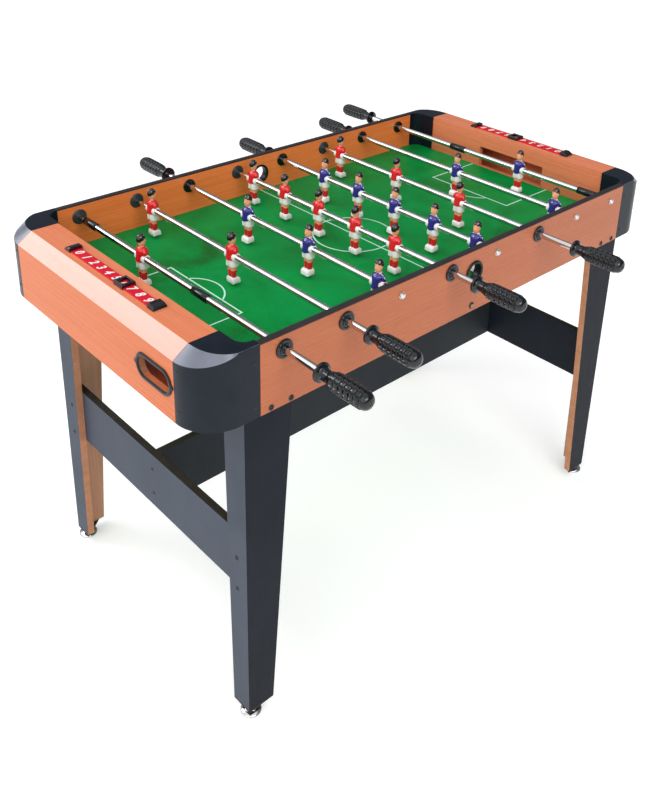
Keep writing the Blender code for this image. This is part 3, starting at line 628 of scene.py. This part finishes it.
def cabinet_screws():
    """Cap screws, leg bolts and the middle bolt of each side."""
    for end, sx in ENDS.items():
        for side, sy in SIDES.items():
            angle = atan2(CAP_SCREW_Y - (HALF_W - CAP_END), CAP_END)
            x = HALF_L - CAP_END + CAP_END * cos(angle)
            for number, z in enumerate((0.745, 0.675)):
                screw(f"cap_end_screw_{end}_{side}_{number}", Vector((sx * x, sy * CAP_SCREW_Y, z)),
                      Vector((sx * cos(angle), sy * sin(angle), 0)), 0.0024, BLACK_BOLT, "black_moulding")
            for number, z in enumerate((0.749, 0.670)):
                screw(f"cap_side_screw_{end}_{side}_{number}", Vector((sx * 0.508, sy * HALF_W, z)),
                      Vector((0, sy, 0)), 0.0024, BLACK_BOLT, "black_moulding")
            for number, x in enumerate((0.437, 0.477)):
                screw(f"leg_bolt_{end}_{side}_{number}", Vector((sx * x, sy * HALF_W, 0.657)),
                      Vector((0, sy, 0)), 0.0052, BLACK_BOLT, "black_moulding")
    for side, sy in SIDES.items():
        spot, out = Vector((0, sy * HALF_W, 0.663)), Vector((0, sy, 0))
        screw(f"field_bolt_{side}", spot, out, 0.0064, BLACK_BOLT, "chrome")
        screw(f"field_bolt_{side}_face", spot + out * 0.0022, out, 0.0038, BRASS_BOLT, "chrome")


# ---- score counters ------------------------------------------------------------------------------
def digit(name, text, place):
    """A raised italic numeral as a mesh."""
    curve = bpy.data.curves.new(name, "FONT")
    curve.body = text
    curve.size = 0.0215
    curve.shear = 0.28
    curve.offset = 0.00055
    curve.extrude = 0.00012
    curve.align_x, curve.align_y = "CENTER", "CENTER"
    holder = placed(name + "_curve", curve)
    mesh = bpy.data.meshes.new_from_object(holder.evaluated_get(bpy.context.evaluated_depsgraph_get()))
    bpy.data.objects.remove(holder)
    xs = [v.co.x for v in mesh.vertices]
    ys = [v.co.y for v in mesh.vertices]
    middle = Vector(((min(xs) + max(xs)) / 2, (min(ys) + max(ys)) / 2, 0))
    high = max(ys) - min(ys)
    mesh.transform(Matrix.Scale(DIGIT_HIGH / high, 4) @ Matrix.Translation(-middle))
    mesh.materials.clear()
    mesh.materials.append(PAINT_WHITE)
    return mount(placed(name, mesh, place), "score_red", "table")


def score_counter(end, sign):
    """The numbered strip with its stops, and the window that slides along it."""
    low = TOP_Z + GAP
    top = low + SCORE_THICK
    x, half = sign * SCORE_X, SCORE_WIDE / 2
    board = box(x - half, x + half, -SCORE_HALF, SCORE_HALF, low, top)
    strip = piece(f"score_strip_{end}", *board, SCORE_RED, 30, 0.0005, 3)
    mount(strip, "score_red", "table", f"score_rail_{end}")
    reading = Matrix.Rotation(sign * pi / 2, 4, "Z")
    for number in range(10):
        y = -sign * (4.5 - number) * SCORE_PITCH
        place = Matrix.Translation((x, y, top + 0.00008)) @ reading
        digit(f"score_{end}_{number}", str(number), place)
    for name, way in SIDES.items():
        y, wide = way * (SCORE_HALF - 0.002), SLIDER_WIDE
        outline = mm([(0, 0), (0, 7.8), (0.8, 8.6), (9.5, 8.6), (11.0, 7.8), (17.2, 4.2), (18.0, 3.2),
                      (18.0, 0)])
        rings = [[(x + edge, y + way * along, low + z * tall) for along, z in outline]
                 for edge, tall in ((-wide, 0.72), (-wide + 0.0024, 1.0), (wide - 0.0024, 1.0), (wide, 0.72))]
        stop = piece(f"score_stop_{end}_{name}", *loft(rings), GLOSS_BLACK, 30, 0.0006, 3)
        mount(stop, "gloss_black", "table", f"score_rail_{end}")
    window_low, window_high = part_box(f"score_slider_{end}")
    y = (window_low.y + window_high.y) / 2
    long, high = SLIDER_LONG, SLIDER_HIGH
    parts = []
    for way in (-1, 1):                  # side rails, with a step that hugs the strip
        outline = [(SCORE_WIDE / 2 + 0.0006, 0.0), (SLIDER_WIDE, 0.0), (SLIDER_WIDE, high - 0.0020),
                   (SLIDER_WIDE - 0.0018, high), (WINDOW + 0.0006, high), (WINDOW, high - 0.0010),
                   (WINDOW, SCORE_THICK + 0.0004), (SCORE_WIDE / 2 + 0.0006, SCORE_THICK + 0.0004)]
        rings = [[(x + way * a, y + b, low + c) for a, c in outline] for b in (-long, long)]
        parts.append((*loft(rings), 0))
        outline = [(WINDOW, SCORE_THICK + 0.0004), (WINDOW, high - 0.0010), (WINDOW + 0.0012, high),
                   (long - 0.0014, high), (long, high - 0.0014), (long, SCORE_THICK + 0.0004)]
        rings = [[(x + a, y + way * b, low + c) for b, c in outline]
                 for a in (-WINDOW - 0.0004, WINDOW + 0.0004)]
        parts.append((*loft(rings), 0))
    verts, faces, _ = merged(parts)
    slider = piece(f"score_window_{end}", verts, faces, GLOSS_BLACK, 30, 0.0004, 2)
    mount(slider, "gloss_black", f"score_{end}", f"score_slider_{end}")


# ---- men -----------------------------------------------------------------------------------------
IN_SHIRT, IN_SKIN, IN_WHITE, IN_SOCK, IN_HAIR = range(5)      # a man's materials in their order


def body_ring(z, half, back, front, groove=0.0, power=2.6, dip=0.0, sides=32):
    """A rounded cross-section; groove pinches it between the legs and dip lowers its front."""
    ring = []
    mid, deep = (back + front) / 2, (front - back) / 2
    for i in range(sides):
        angle = 2 * pi * i / sides
        c, s = cos(angle), sin(angle)
        across = half * (abs(s) ** (2 / power)) * (1 if s >= 0 else -1)
        reach = deep * (abs(c) ** (2 / power)) * (1 if c >= 0 else -1)
        pinch = 1 - groove * max(0.0, 1 - (across / (0.42 * half)) ** 2)
        fall = dip * max(0.0, c) * max(0.0, 1 - abs(across) / half)
        ring.append((mid + reach * pinch, across, z - fall))
    return ring


def sections(rows, *shape):
    """A body through rows of (height, half width, back, front) in millimetres; shape goes to body_ring."""
    return loft([body_ring(*row, *shape) for row in mm(rows)])


def limb(points, sides=16):
    """A round tube through (x, y, z, radius) points in millimetres."""
    points, rings = mm(points), []
    for i, (x, y, z, r) in enumerate(points):
        a, b = Vector(points[max(i - 1, 0)][:3]), Vector(points[min(i + 1, len(points) - 1)][:3])
        way = (b - a).normalized()
        u = way.orthogonal().normalized() if i == 0 else (u - way * u.dot(way)).normalized()
        v = way.cross(u)
        rings.append([Vector((x, y, z)) + (u * cos(2 * pi * k / sides) + v * sin(2 * pi * k / sides)) * r
                      for k in range(sides)])
    return loft(rings)


def blob(centre, size, sides, rows, tilt=0.0, edge=None):
    """An ellipsoid, or a cap of one down to the angle edge(around) from its pole, which is tilted back."""
    verts, faces = [], []
    turn = Matrix.Rotation(-tilt, 3, "Y")
    for row in range(rows + 1):
        for i in range(sides):
            around = 2 * pi * i / sides
            polar = (edge(around) if edge else pi) * row / rows
            d = turn @ Vector((sin(polar) * cos(around), sin(polar) * sin(around), cos(polar)))
            verts.append(Vector(centre) + Vector((d.x * size[0], d.y * size[1], d.z * size[2])))
    for row in range(rows):
        for i in range(sides):
            j = (i + 1) % sides
            faces.append([row * sides + i, row * sides + j, (row + 1) * sides + j, (row + 1) * sides + i])
    return verts, faces


def stocky(point):
    """Widens a point of a man by its height, by MAN_BUILD's (height, in X, in Y); the bore keeps its size."""
    x, y, z = point
    for (z0, x0, y0), (z1, x1, y1) in zip(MAN_BUILD, MAN_BUILD[1:]):
        if z <= z1:
            break
    share = min(max((z - z0) / (z1 - z0), 0.0), 1.0)
    wide_x = 1.0 if hypot(x, z) < HUB_R + 0.0002 else x0 + (x1 - x0) * share
    return x * wide_x, y * (y0 + (y1 - y0) * share), z


def man_legs():
    """Block foot, socks with their cuffs, thighs and shorts."""
    foot = [(-55.0, 8.2, -5.4, 8.6), (-54.5, 8.7, -5.8, 9.2), (-50.0, 8.7, -6.0, 9.0),
            (-46.2, 8.4, -6.0, 8.2), (-44.4, 7.8, -5.6, 6.8), (-43.0, 6.8, -5.0, 5.2)]
    socks = [(-44.5, 6.4, -4.6, 4.8), (-42.5, 6.6, -4.8, 5.0), (-38.0, 7.0, -5.6, 5.2),
             (-33.0, 7.5, -6.1, 5.3), (-30.0, 7.5, -5.9, 5.3), (-28.8, 7.3, -5.6, 5.1)]
    cuff = [(-31.8, 7.7, -6.1, 5.6), (-31.2, 7.9, -6.3, 5.8), (-29.2, 7.9, -6.2, 5.8),
            (-28.6, 7.6, -5.8, 5.4)]
    thighs = [(-29.5, 7.0, -5.2, 5.0), (-27.0, 7.2, -5.4, 5.6), (-23.0, 7.9, -6.0, 6.2),
              (-19.0, 8.4, -6.6, 6.8), (-15.0, 8.6, -6.8, 7.0)]
    shorts = [(-19.2, 9.6, -7.8, 8.2), (-19.6, 10.2, -8.6, 9.0), (-18.0, 10.3, -8.7, 9.2),
              (-12.0, 9.8, -8.3, 8.9), (-6.0, 9.2, -8.0, 8.4), (0.0, 8.8, -7.8, 8.0)]
    grooves = (0.22, 0.22, 0.20, 0.12, 0.04, 0)
    hips = loft([body_ring(*row, groove) for row, groove in zip(mm(shorts), grooves)])
    return [(*sections(foot, 0, 8), IN_WHITE), (*sections(socks, 0.34), IN_SOCK),
            (*sections(cuff, 0.32), IN_SOCK), (*sections(thighs, 0.30), IN_SKIN), (*hips, IN_WHITE)]


def man_trunk():
    """White hubs clamped round the tube, the shirt, arms that rest on the hubs, and the neck."""
    parts = []
    for way in (-1, 1):
        profile = [(TUBE_R + 0.0001, 0.0070), (HUB_R, 0.0070), (HUB_R, 0.0085), (HUB_R, 0.0122),
                   (HUB_R - 0.0005, 0.0132), (HUB_R - 0.0010, 0.0135), (TUBE_R + 0.0001, 0.0135)]
        parts.append((*turned(facing(profile, way), 40), IN_WHITE))
    torso = [(-5.2, 8.6, -8.6, 9.2, 1.2), (-5.8, 9.4, -9.4, 10.0, 2.6), (-4.5, 9.6, -9.6, 10.3, 2.2),
             (0.0, 9.2, -9.3, 9.8, 0.8), (5.0, 8.8, -8.4, 9.0, 0), (10.0, 9.4, -8.0, 9.0, 0),
             (14.5, 10.0, -7.4, 8.4, 0), (17.8, 9.2, -6.4, 7.0, 0), (20.0, 6.4, -5.2, 5.6, 0),
             (21.5, 4.4, -4.2, 4.6, 0)]
    parts.append((*loft([body_ring(*row, 0, 2.5, dip) for *row, dip in mm(torso)]), IN_SHIRT))
    for way in (-1, 1):
        upper = [(0.0, way * 7.0, 17.2, 3.0), (-0.4, way * 8.6, 15.8, 3.6), (-1.0, way * 9.8, 13.0, 3.6),
                 (-1.4, way * 10.1, 9.2, 3.4), (-1.0, way * 10.2, 6.0, 3.3), (0.4, way * 10.2, 3.6, 3.4)]
        lower = [(-0.4, way * 10.2, 5.8, 3.0), (1.0, way * 10.2, 3.4, 3.0), (3.4, way * 10.2, 1.4, 2.8),
                 (5.4, way * 10.0, 0.0, 2.6), (6.6, way * 9.8, -1.2, 2.1)]
        parts += [(*limb(upper), IN_SHIRT), (*limb(lower), IN_WHITE)]
    parts.append((*sections([(19.5, 3.6, -3.6, 3.8), (25.0, 3.6, -3.6, 3.6)], 0, 2), IN_SKIN))
    return parts


def man_collar():
    """Open collar and shoulder piping of the blue shirt."""
    collar = []
    for i in range(25):
        angle = 2 * pi * i / 24
        front = max(0.0, cos(angle))
        collar.append((4.7 * cos(angle) + 2.2 * front ** 4, 4.6 * sin(angle), 21.3 - 5.2 * front ** 3, 0.85))
    parts = [(*limb(collar, 10), IN_WHITE)]
    for way in (-1, 1):
        piping = [(0.0, way * 5.2, 20.8, 0.5), (0.0, way * 7.4, 19.7, 0.6), (0.0, way * 9.8, 18.4, 0.6),
                  (-0.3, way * 12.4, 15.8, 0.6), (-0.8, way * 13.2, 12.8, 0.5)]
        parts.append((*limb(piping, 8), IN_WHITE))
    return parts


def man_head():
    """A plain head with nose and ears under a shell of moulded hair."""
    def hairline(around):
        return radians(91 - 6 * cos(around) + 4 * cos(8 * around))

    head = [(23.2, 2.0, -1.8, 3.4), (23.8, 3.6, -3.4, 5.2), (25.8, 5.0, -5.2, 6.4), (29.0, 5.9, -6.4, 6.9),
            (33.0, 6.3, -7.0, 6.9), (37.0, 6.4, -7.2, 6.8), (41.0, 6.1, -6.9, 6.2), (44.0, 5.0, -5.6, 5.0),
            (45.6, 2.8, -3.2, 2.8)]
    nose = [(6.4, 0, 35.2, 0.8), (7.2, 0, 32.6, 1.1), (7.8, 0, 30.6, 1.4), (6.8, 0, 29.7, 1.0)]
    parts = [(*sections(head, 0, 2.15), IN_SKIN), (*limb(nose, 12), IN_SKIN)]
    for way in (-1, 1):
        parts.append((*blob((-0.0004, way * 0.0063, 0.0328), (0.0015, 0.0010, 0.0023), 14, 10), IN_SKIN))
    middle, tilt = (-0.0006, 0, 0.0362), radians(17)
    hair = blob(middle, (0.0086, 0.0074, 0.0106), 40, 14, tilt, hairline)
    lining = blob(middle, (0.0068, 0.0059, 0.0088), 40, 6, tilt, lambda around: radians(84))
    return parts + [(*hair, IN_HAIR), (*lining, IN_HAIR)]


def man_mesh(team):
    """One moulded footballer about the rod's axis, facing +X; plain plastic, no likeness of anyone."""
    collar = man_collar() if team == "blue" else []
    verts, faces, indices = merged(man_legs() + man_trunk() + collar + man_head())
    return piece(f"{team}_man_source", [stocky(point) for point in verts], faces,
                 [SHIRT[team], SKIN, WHITE, SOCK_RED, HAIR], 50, indices=indices)


# ---- rods ----------------------------------------------------------------------------------------
def handle_mesh():
    """A moulded grip along +Y from its flange: neck, swollen body with rows of blocks, domed dimpled end."""
    def outline(along):
        shape = mm([(8.5, 10.0), (13.0, 10.0), (20.5, 10.4), (26.0, 12.4), (32.0, 13.8), (42.0, 14.4),
                    (62.0, 14.7), (82.0, 14.8), (92.0, 14.6), (96.0, 14.2), (99.0, 13.4), (102.0, 11.8),
                    (104.0, 9.8), (105.3, 7.2), (106.0, 4.5)])
        for (a0, r0), (a1, r1) in zip(shape, shape[1:]):
            if along <= a1:
                share = (along - a0) / (a1 - a0)
                return r0 + (r1 - r0) * share
        return shape[-1][1]

    grip_from, grip_to, blocks = 0.0300, 0.0940, 6
    block = (grip_to - grip_from) / blocks
    bore = TUBE_R + 0.0004
    flange = [(15.5, 0.0), (16.3, 0.6), (16.5, 1.6), (16.5, 3.6), (16.1, 4.7), (15.0, 5.3), (12.2, 6.0),
              (10.9, 7.2)]
    profile = [(0, 0.0620), (bore, 0.0620), (bore, 0.0)] + mm(flange)
    for i in range(4):
        along = 0.0090 + 0.0032 * i
        profile.append((outline(along), along))
    for along in (0.0205, 0.0220, 0.0240, 0.0260, 0.0280, 0.0295):
        profile.append((outline(along), along))
    cuts = (0.0, 0.03, 0.05, 0.08, 0.14, 0.50, 0.86, 0.92, 0.95, 0.97)
    for number in range(blocks):
        for share in cuts:
            along = grip_from + (number + share) * block
            profile.append((outline(along), along))
    for along in (0.0940, 0.0950, 0.0960, 0.0975, 0.0990, 0.1005, 0.1020, 0.1031, 0.1040, 0.1047, 0.1053,
                  0.1060):
        profile.append((outline(along), along))
    profile += [(0.0030, 0.1062), (0.0024, 0.1058), (0.0018, 0.1050), (0, 0.1048)]

    def ribbed(angle, radius, along):
        if not grip_from <= along <= grip_to or radius < 0.009:
            return radius
        share = (along - grip_from) / block % 1
        inside = min(max((min(share, 1 - share) - 0.03) / 0.11, 0.0), 1.0)
        turn = abs(angle * RIBS / (2 * pi) % 1 - 0.5)
        rib = min(max((0.44 - turn) / 0.18, 0.0), 1.0)
        return radius - 0.0008 + 0.0018 * rib * (2 - rib) * inside * (2 - inside)

    return piece("handle_source", *turned(profile, 24 * RIBS, "Y", shape=ribbed), GLOSS_BLACK, 40)


def bush(name, side, centre, body):
    """Flanged bearing bush: a stepped outer collar, the barrel in the wall and a flat inner flange."""
    bore = TUBE_R / MM + 0.7
    profile = (off(HALF_W, [(bore, 4.4), (8.6, 4.4), (9.2, 4.0), (9.6, 2.6), (11.2, 2.2), (12.2, 3.2),
                            (14.8, 3.4), (16.0, 2.8), (16.5, 1.5), (16.5, 0.3), (10.5, 0.3)])
               + off(SIDE_IN, [(10.5, -0.3), (15.0, -0.3), (15.0, -1.4), (14.3, -2.4), (11.2, -2.6),
                               (10.4, -3.0), (bore, -3.0)]))
    part = piece(f"{name}_bush", *turned(facing(profile, side), 64, "Y", centre), GLOSS_BLACK, 38)
    mount(part, "gloss_black", body, f"{name}_bearing")


def guide(name, side, centre):
    """The fixed inner rod with its wall disc, and the nut that holds it outside the panel."""
    node = f"{name}_guide_rod"
    low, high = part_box(node)
    reach = side * (low.y if side > 0 else high.y)
    rod_profile = off(reach, [(0, 0), (3.4, 0), (4.0, 0.6)]) + off(HALF_W, [(4.0, 0.3), (0, 0.3)])
    rod = piece(f"{name}_inner_rod", *turned(facing(rod_profile, side), 32, "Y", centre), CHROME, 20)
    mount(rod, "chrome", "table", node)
    disc_rows = [(4.1, -2.7), (6.8, -2.7), (7.4, -2.2), (8.0, -2.7), (10.8, -2.6), (11.4, -2.0), (12.0, -2.4),
                 (14.0, -1.8), (15.1, -1.0), (15.5, -0.3), (15.5, 0), (4.1, 0)]
    disc_profile = off(SIDE_IN - GAP, disc_rows)
    disc = piece(f"{name}_wall_disc", *turned(facing(disc_profile, side), 64, "Y", centre), RUBBER, 40)
    mount(disc, "gloss_black", "table", node)
    nut_profile = off(HALF_W, [(0, 0.3), (6.6, 0.3), (6.6, 1.2), (5.8, 1.4), (5.7, 3.4), (5.0, 4.6),
                               (3.0, 5.4), (0, 5.6)])

    def facets(angle, radius, along):
        in_nut = abs(along) > HALF_W + 0.0013 and radius > 0.0045
        return radius * (0.94 + 0.06 * abs(cos(3 * angle))) if in_nut else radius

    nut = turned(facing(nut_profile, side), 72, "Y", centre, facets)
    mount(piece(f"{name}_cap_nut", *nut, ZINC, 30), "chrome", "table", node)


def rods():
    """Every row: tube, men, sleeves and handle on the sliding body, bush and guide rod in the walls."""
    men_source = {team: man_mesh(team) for team in ("red", "blue")}
    grip_source = handle_mesh()
    for team, line, men in ROWS:
        name = f"{team}_{line}"
        row, side = f"{name}_row", -1 if team == "red" else 1
        low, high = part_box(f"{name}_guide_rod")
        x, z = (low.x + high.x) / 2, (low.z + high.z) / 2
        pitch, flange, free = ROW[men]
        low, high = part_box(f"{name}_rod")
        middle = high.y - free if side < 0 else low.y + free
        centre = Vector((x, middle, z))
        free_end, grip_end = -side * free, side * (flange + 0.060)
        profile = [(0.0050, free_end), (TUBE_R - 0.0003, free_end), (TUBE_R, free_end + side * 0.0004),
                   (TUBE_R, grip_end), (0.0050, grip_end)]
        tube = piece(f"{name}_tube", *turned(profile, 48, "Y", centre), CHROME, 20)
        mount(tube, "chrome", row, f"{name}_rod")
        for number in range(men):
            y = (number - (men - 1) / 2) * pitch
            facing = Matrix.Identity(4) if side < 0 else Matrix.Rotation(pi, 4, "Z")
            man = placed(f"{name}_man_{number + 1}", men_source[team].data,
                         Matrix.Translation(centre + Vector((0, y, 0))) @ facing)
            mount(man, f"{team}_team", row, f"{name}_rod")
        if men == 1:
            for number, at in enumerate((-SLEEVE_AT, SLEEVE_AT)):
                profile = [(TUBE_R + 0.0001, -SLEEVE_HALF), (SLEEVE_R - 0.0008, -SLEEVE_HALF),
                           (SLEEVE_R, -SLEEVE_HALF + 0.0010), (SLEEVE_R, SLEEVE_HALF - 0.0010),
                           (SLEEVE_R - 0.0008, SLEEVE_HALF), (TUBE_R + 0.0001, SLEEVE_HALF)]
                sleeve = piece(f"{name}_sleeve_{number + 1}",
                               *turned([(r, y + at) for r, y in profile], 48, "Y", centre), GLOSS_BLACK, 40)
                mount(sleeve, "gloss_black", row, f"{name}_rod")
        turn = Matrix.Identity(4) if side > 0 else Matrix.Rotation(pi, 4, "Z")
        seat = Matrix.Translation(centre + Vector((0, side * flange, 0)))
        grip = placed(f"{name}_grip", grip_source.data, seat @ turn)
        mount(grip, "gloss_black", row, f"{name}_handle")
        bush(name, side, (x, 0, z), f"{name}_bush")
        guide(name, -side, (x, 0, z))
    for source in (*men_source.values(), grip_source):
        bpy.data.objects.remove(source)


# ---- legs ----------------------------------------------------------------------------------------
def tapered_board(name, corners_low, corners_high, face_mats, slot, nodes):
    """A board between two outlines; face_mats: its bottom, its top, then its edges in outline order."""
    verts, faces = loft([corners_low, corners_high])
    board = piece(name, verts, faces, [SLATE, BROWN, RAW_EDGE, DARK_EDGE, SLATE_SHADED], 30, 0.0004, 2,
                  indices=face_mats)
    return mount(board, slot, "table", *nodes)


def leg(end, sx, side, sy):
    """Two tapered boards in an L, slate outside, brown inside, with raw free edges; and a levelling foot."""
    node = f"leg_{end}_{side}"
    slate, brown, raw, dark, side_slate_painted_shade = range(5)

    def outline(z, points):
        return [(sx * (LEG_X - x), sy * (LEG_Y - y), z) for x, y in points]

    t, seam = LEG_BOARD, 0.0001        # the two boards meet in a mitre
    tapered_board(f"{node}_end_board",
                  outline(LEG_LOW, [(0, seam), (t, t + seam), (t, LEG_END_LOW), (0, LEG_END_LOW)]),
                  outline(LEG_TOP, [(0, seam), (t, t + seam), (t, LEG_END_TOP), (0, LEG_END_TOP)]),
                  [dark, dark, dark, brown, raw, slate], "slate_board", [node])
    tapered_board(f"{node}_side_board",
                  outline(LEG_LOW, [(seam, 0), (LEG_SIDE_LOW, 0), (LEG_SIDE_LOW, t), (t + seam, t)]),
                  outline(LEG_TOP, [(seam, 0), (LEG_SIDE_TOP, 0), (LEG_SIDE_TOP, t), (t + seam, t)]),
                  # the side board's outer face is the slate foil darkened as painted shade
                  [dark, dark, side_slate_painted_shade, raw, brown, dark], "slate_board", [node])
    corners = [(0, 0), (LEG_SIDE_LOW, 0), (LEG_SIDE_LOW, 0.003), (0.003, LEG_END_LOW), (0, LEG_END_LOW)]
    layers = [outline(z, corners) for z in (LEG_LOW - LEG_PLATE, LEG_LOW - 0.0001)]
    mount(piece(f"{node}_plate", *loft(layers), DARK_EDGE, 30, 0.0006), "black_moulding", "table", node)
    x, y = sx * (LEG_X - t), sy * (LEG_Y - t)
    shank = LEG_LOW - LEG_PLATE + 0.0010
    disc = [(0, 0), (18.0, 0), (19.4, 1.0), (19.8, 2.4), (19.4, 4.2), (18.0, 5.6), (13.0, 7.0), (10.0, 8.0),
            (9.2, 9.0), (5.6, 9.2)]
    profile = mm(disc) + [(0.0055, shank), (0, shank)]
    mount(piece(f"{node}_foot", *turned(profile, 64, "Z", (x, y, 0)), CHROME, 40), "chrome", "table", node)
    for number, z in enumerate((0.355, 0.288)):
        spot = Vector((sx * LEG_X, sy * (LEG_Y - 0.028), z))
        screw(f"{node}_screw_{number}", spot, Vector((sx, 0, 0)), 0.0042, BLACK_BOLT, "chrome")


def base():
    for end, sx in ENDS.items():
        for side, sy in SIDES.items():
            leg(end, sx, side, sy)
        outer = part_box(f"end_stretcher_{end}")[1 if sx > 0 else 0].x
        for number, z in enumerate((0.355, 0.300)):
            screw(f"stretcher_screw_{end}_{number}", Vector((outer, 0, z)), Vector((sx, 0, 0)), 0.0034,
                  BLACK_BOLT, "chrome")


# ---- studio --------------------------------------------------------------------------------------
def light(name, place, aim, size, power, long_axis):
    """A rectangular soft lamp; long_axis is the way its longer side runs."""
    lamp = bpy.data.lights.new(name, "AREA")
    lamp.shape = "RECTANGLE"
    lamp.size, lamp.size_y = size
    lamp.energy = power
    back = (Vector(place) - Vector(aim)).normalized()
    across = (Vector(long_axis) - back * back.dot(Vector(long_axis))).normalized()
    turn = Matrix((across, back.cross(across), back)).transposed().to_4x4()
    placed(name, lamp, Matrix.Translation(place) @ turn).visible_camera = False


def studio():
    """A pale floor, a world that is bright above and darker at eye level, two soft lamps and a wide sun."""
    size = 30
    floor = piece("studio_floor", [(-size, -size, 0), (size, -size, 0), (size, size, 0), (-size, size, 0)],
                  [[0, 1, 2, 3]], floor_look())
    world = bpy.data.worlds.new("studio")
    bpy.context.scene.world = world
    world.use_nodes = True
    tree = world.node_tree
    coords = tree.nodes.new("ShaderNodeTexCoord")
    split = tree.nodes.new("ShaderNodeSeparateXYZ")
    ramp = tree.nodes.new("ShaderNodeValToRGB")
    while len(ramp.color_ramp.elements) < len(SKY):
        ramp.color_ramp.elements.new(0.5)
    for element, (height, colour) in zip(ramp.color_ramp.elements, SKY):
        element.position = height
        element.color = (*colour, 1)
    tree.links.new(coords.outputs["Generated"], split.inputs[0])
    lean = tree.nodes.new("ShaderNodeMath")
    lean.operation = "MULTIPLY_ADD"    # the bright part of the sky leans towards the left end
    lean.inputs[1].default_value = SKY_LEAN
    tree.links.new(split.outputs["X"], lean.inputs[0])
    height = tree.nodes.new("ShaderNodeMath")
    height.operation = "MULTIPLY_ADD"
    height.inputs[1].default_value = height.inputs[2].default_value = 0.5
    tree.links.new(split.outputs["Z"], height.inputs[0])
    tree.links.new(height.outputs[0], lean.inputs[2])
    tree.links.new(lean.outputs[0], ramp.inputs["Fac"])
    tree.links.new(ramp.outputs["Color"], tree.nodes["Background"].inputs["Color"])
    tree.nodes["Background"].inputs["Strength"].default_value = SKY_STRENGTH
    light("shoulder", (-1.30, 1.58, 1.97), (-0.59, 0, 0.77), (1.3, 0.55), 14, (0.13, 0.61, -0.23))
    light("front", (-0.9, -2.6, 2.4), (0, 0, 0.72), (1.8, 1.2), 34, (1, 0, 0))
    sun = bpy.data.lights.new("key", "SUN")
    sun.energy = 0.45
    sun.angle = radians(50)
    placed("key", sun, Vector((0.8, 0.25, -0.6)).to_track_quat("-Z", "Y").to_matrix().to_4x4())


def camera():
    """The photograph's viewpoint."""
    forward = Vector((cos(PITCH) * cos(YAW), cos(PITCH) * sin(YAW), sin(PITCH)))
    right = Vector((sin(YAW), -cos(YAW), 0))
    up = right.cross(forward)
    turned_right = right * cos(ROLL) + up * sin(ROLL)
    turned_up = up * cos(ROLL) - right * sin(ROLL)
    lens = bpy.data.cameras.new("camera")
    lens.lens = LENS
    lens.sensor_width = 36
    lens.sensor_fit = "AUTO"
    lens.shift_x = SHIFT_X
    lens.shift_y = SHIFT_Y
    turn = Matrix((turned_right, turned_up, -forward)).transposed().to_4x4()
    bpy.context.scene.camera = placed("camera", lens, Matrix.Translation(CAMERA_AT) @ turn)


cabinet()
field_lines()
for side_name, side_sign in SIDES.items():
    ball_entry_cup(side_name, side_sign)
for end_name, end_sign in ENDS.items():
    ball_return_bezel(end_name, end_sign)
    score_counter(end_name, end_sign)
    for side_name, side_sign in SIDES.items():
        corner_cap(end_name, end_sign, side_name, side_sign)
cabinet_screws()
rods()
base()
studio()
camera()
bpy.context.scene.view_settings.view_transform = "Standard"
bpy.context.scene.view_settings.look = "None"
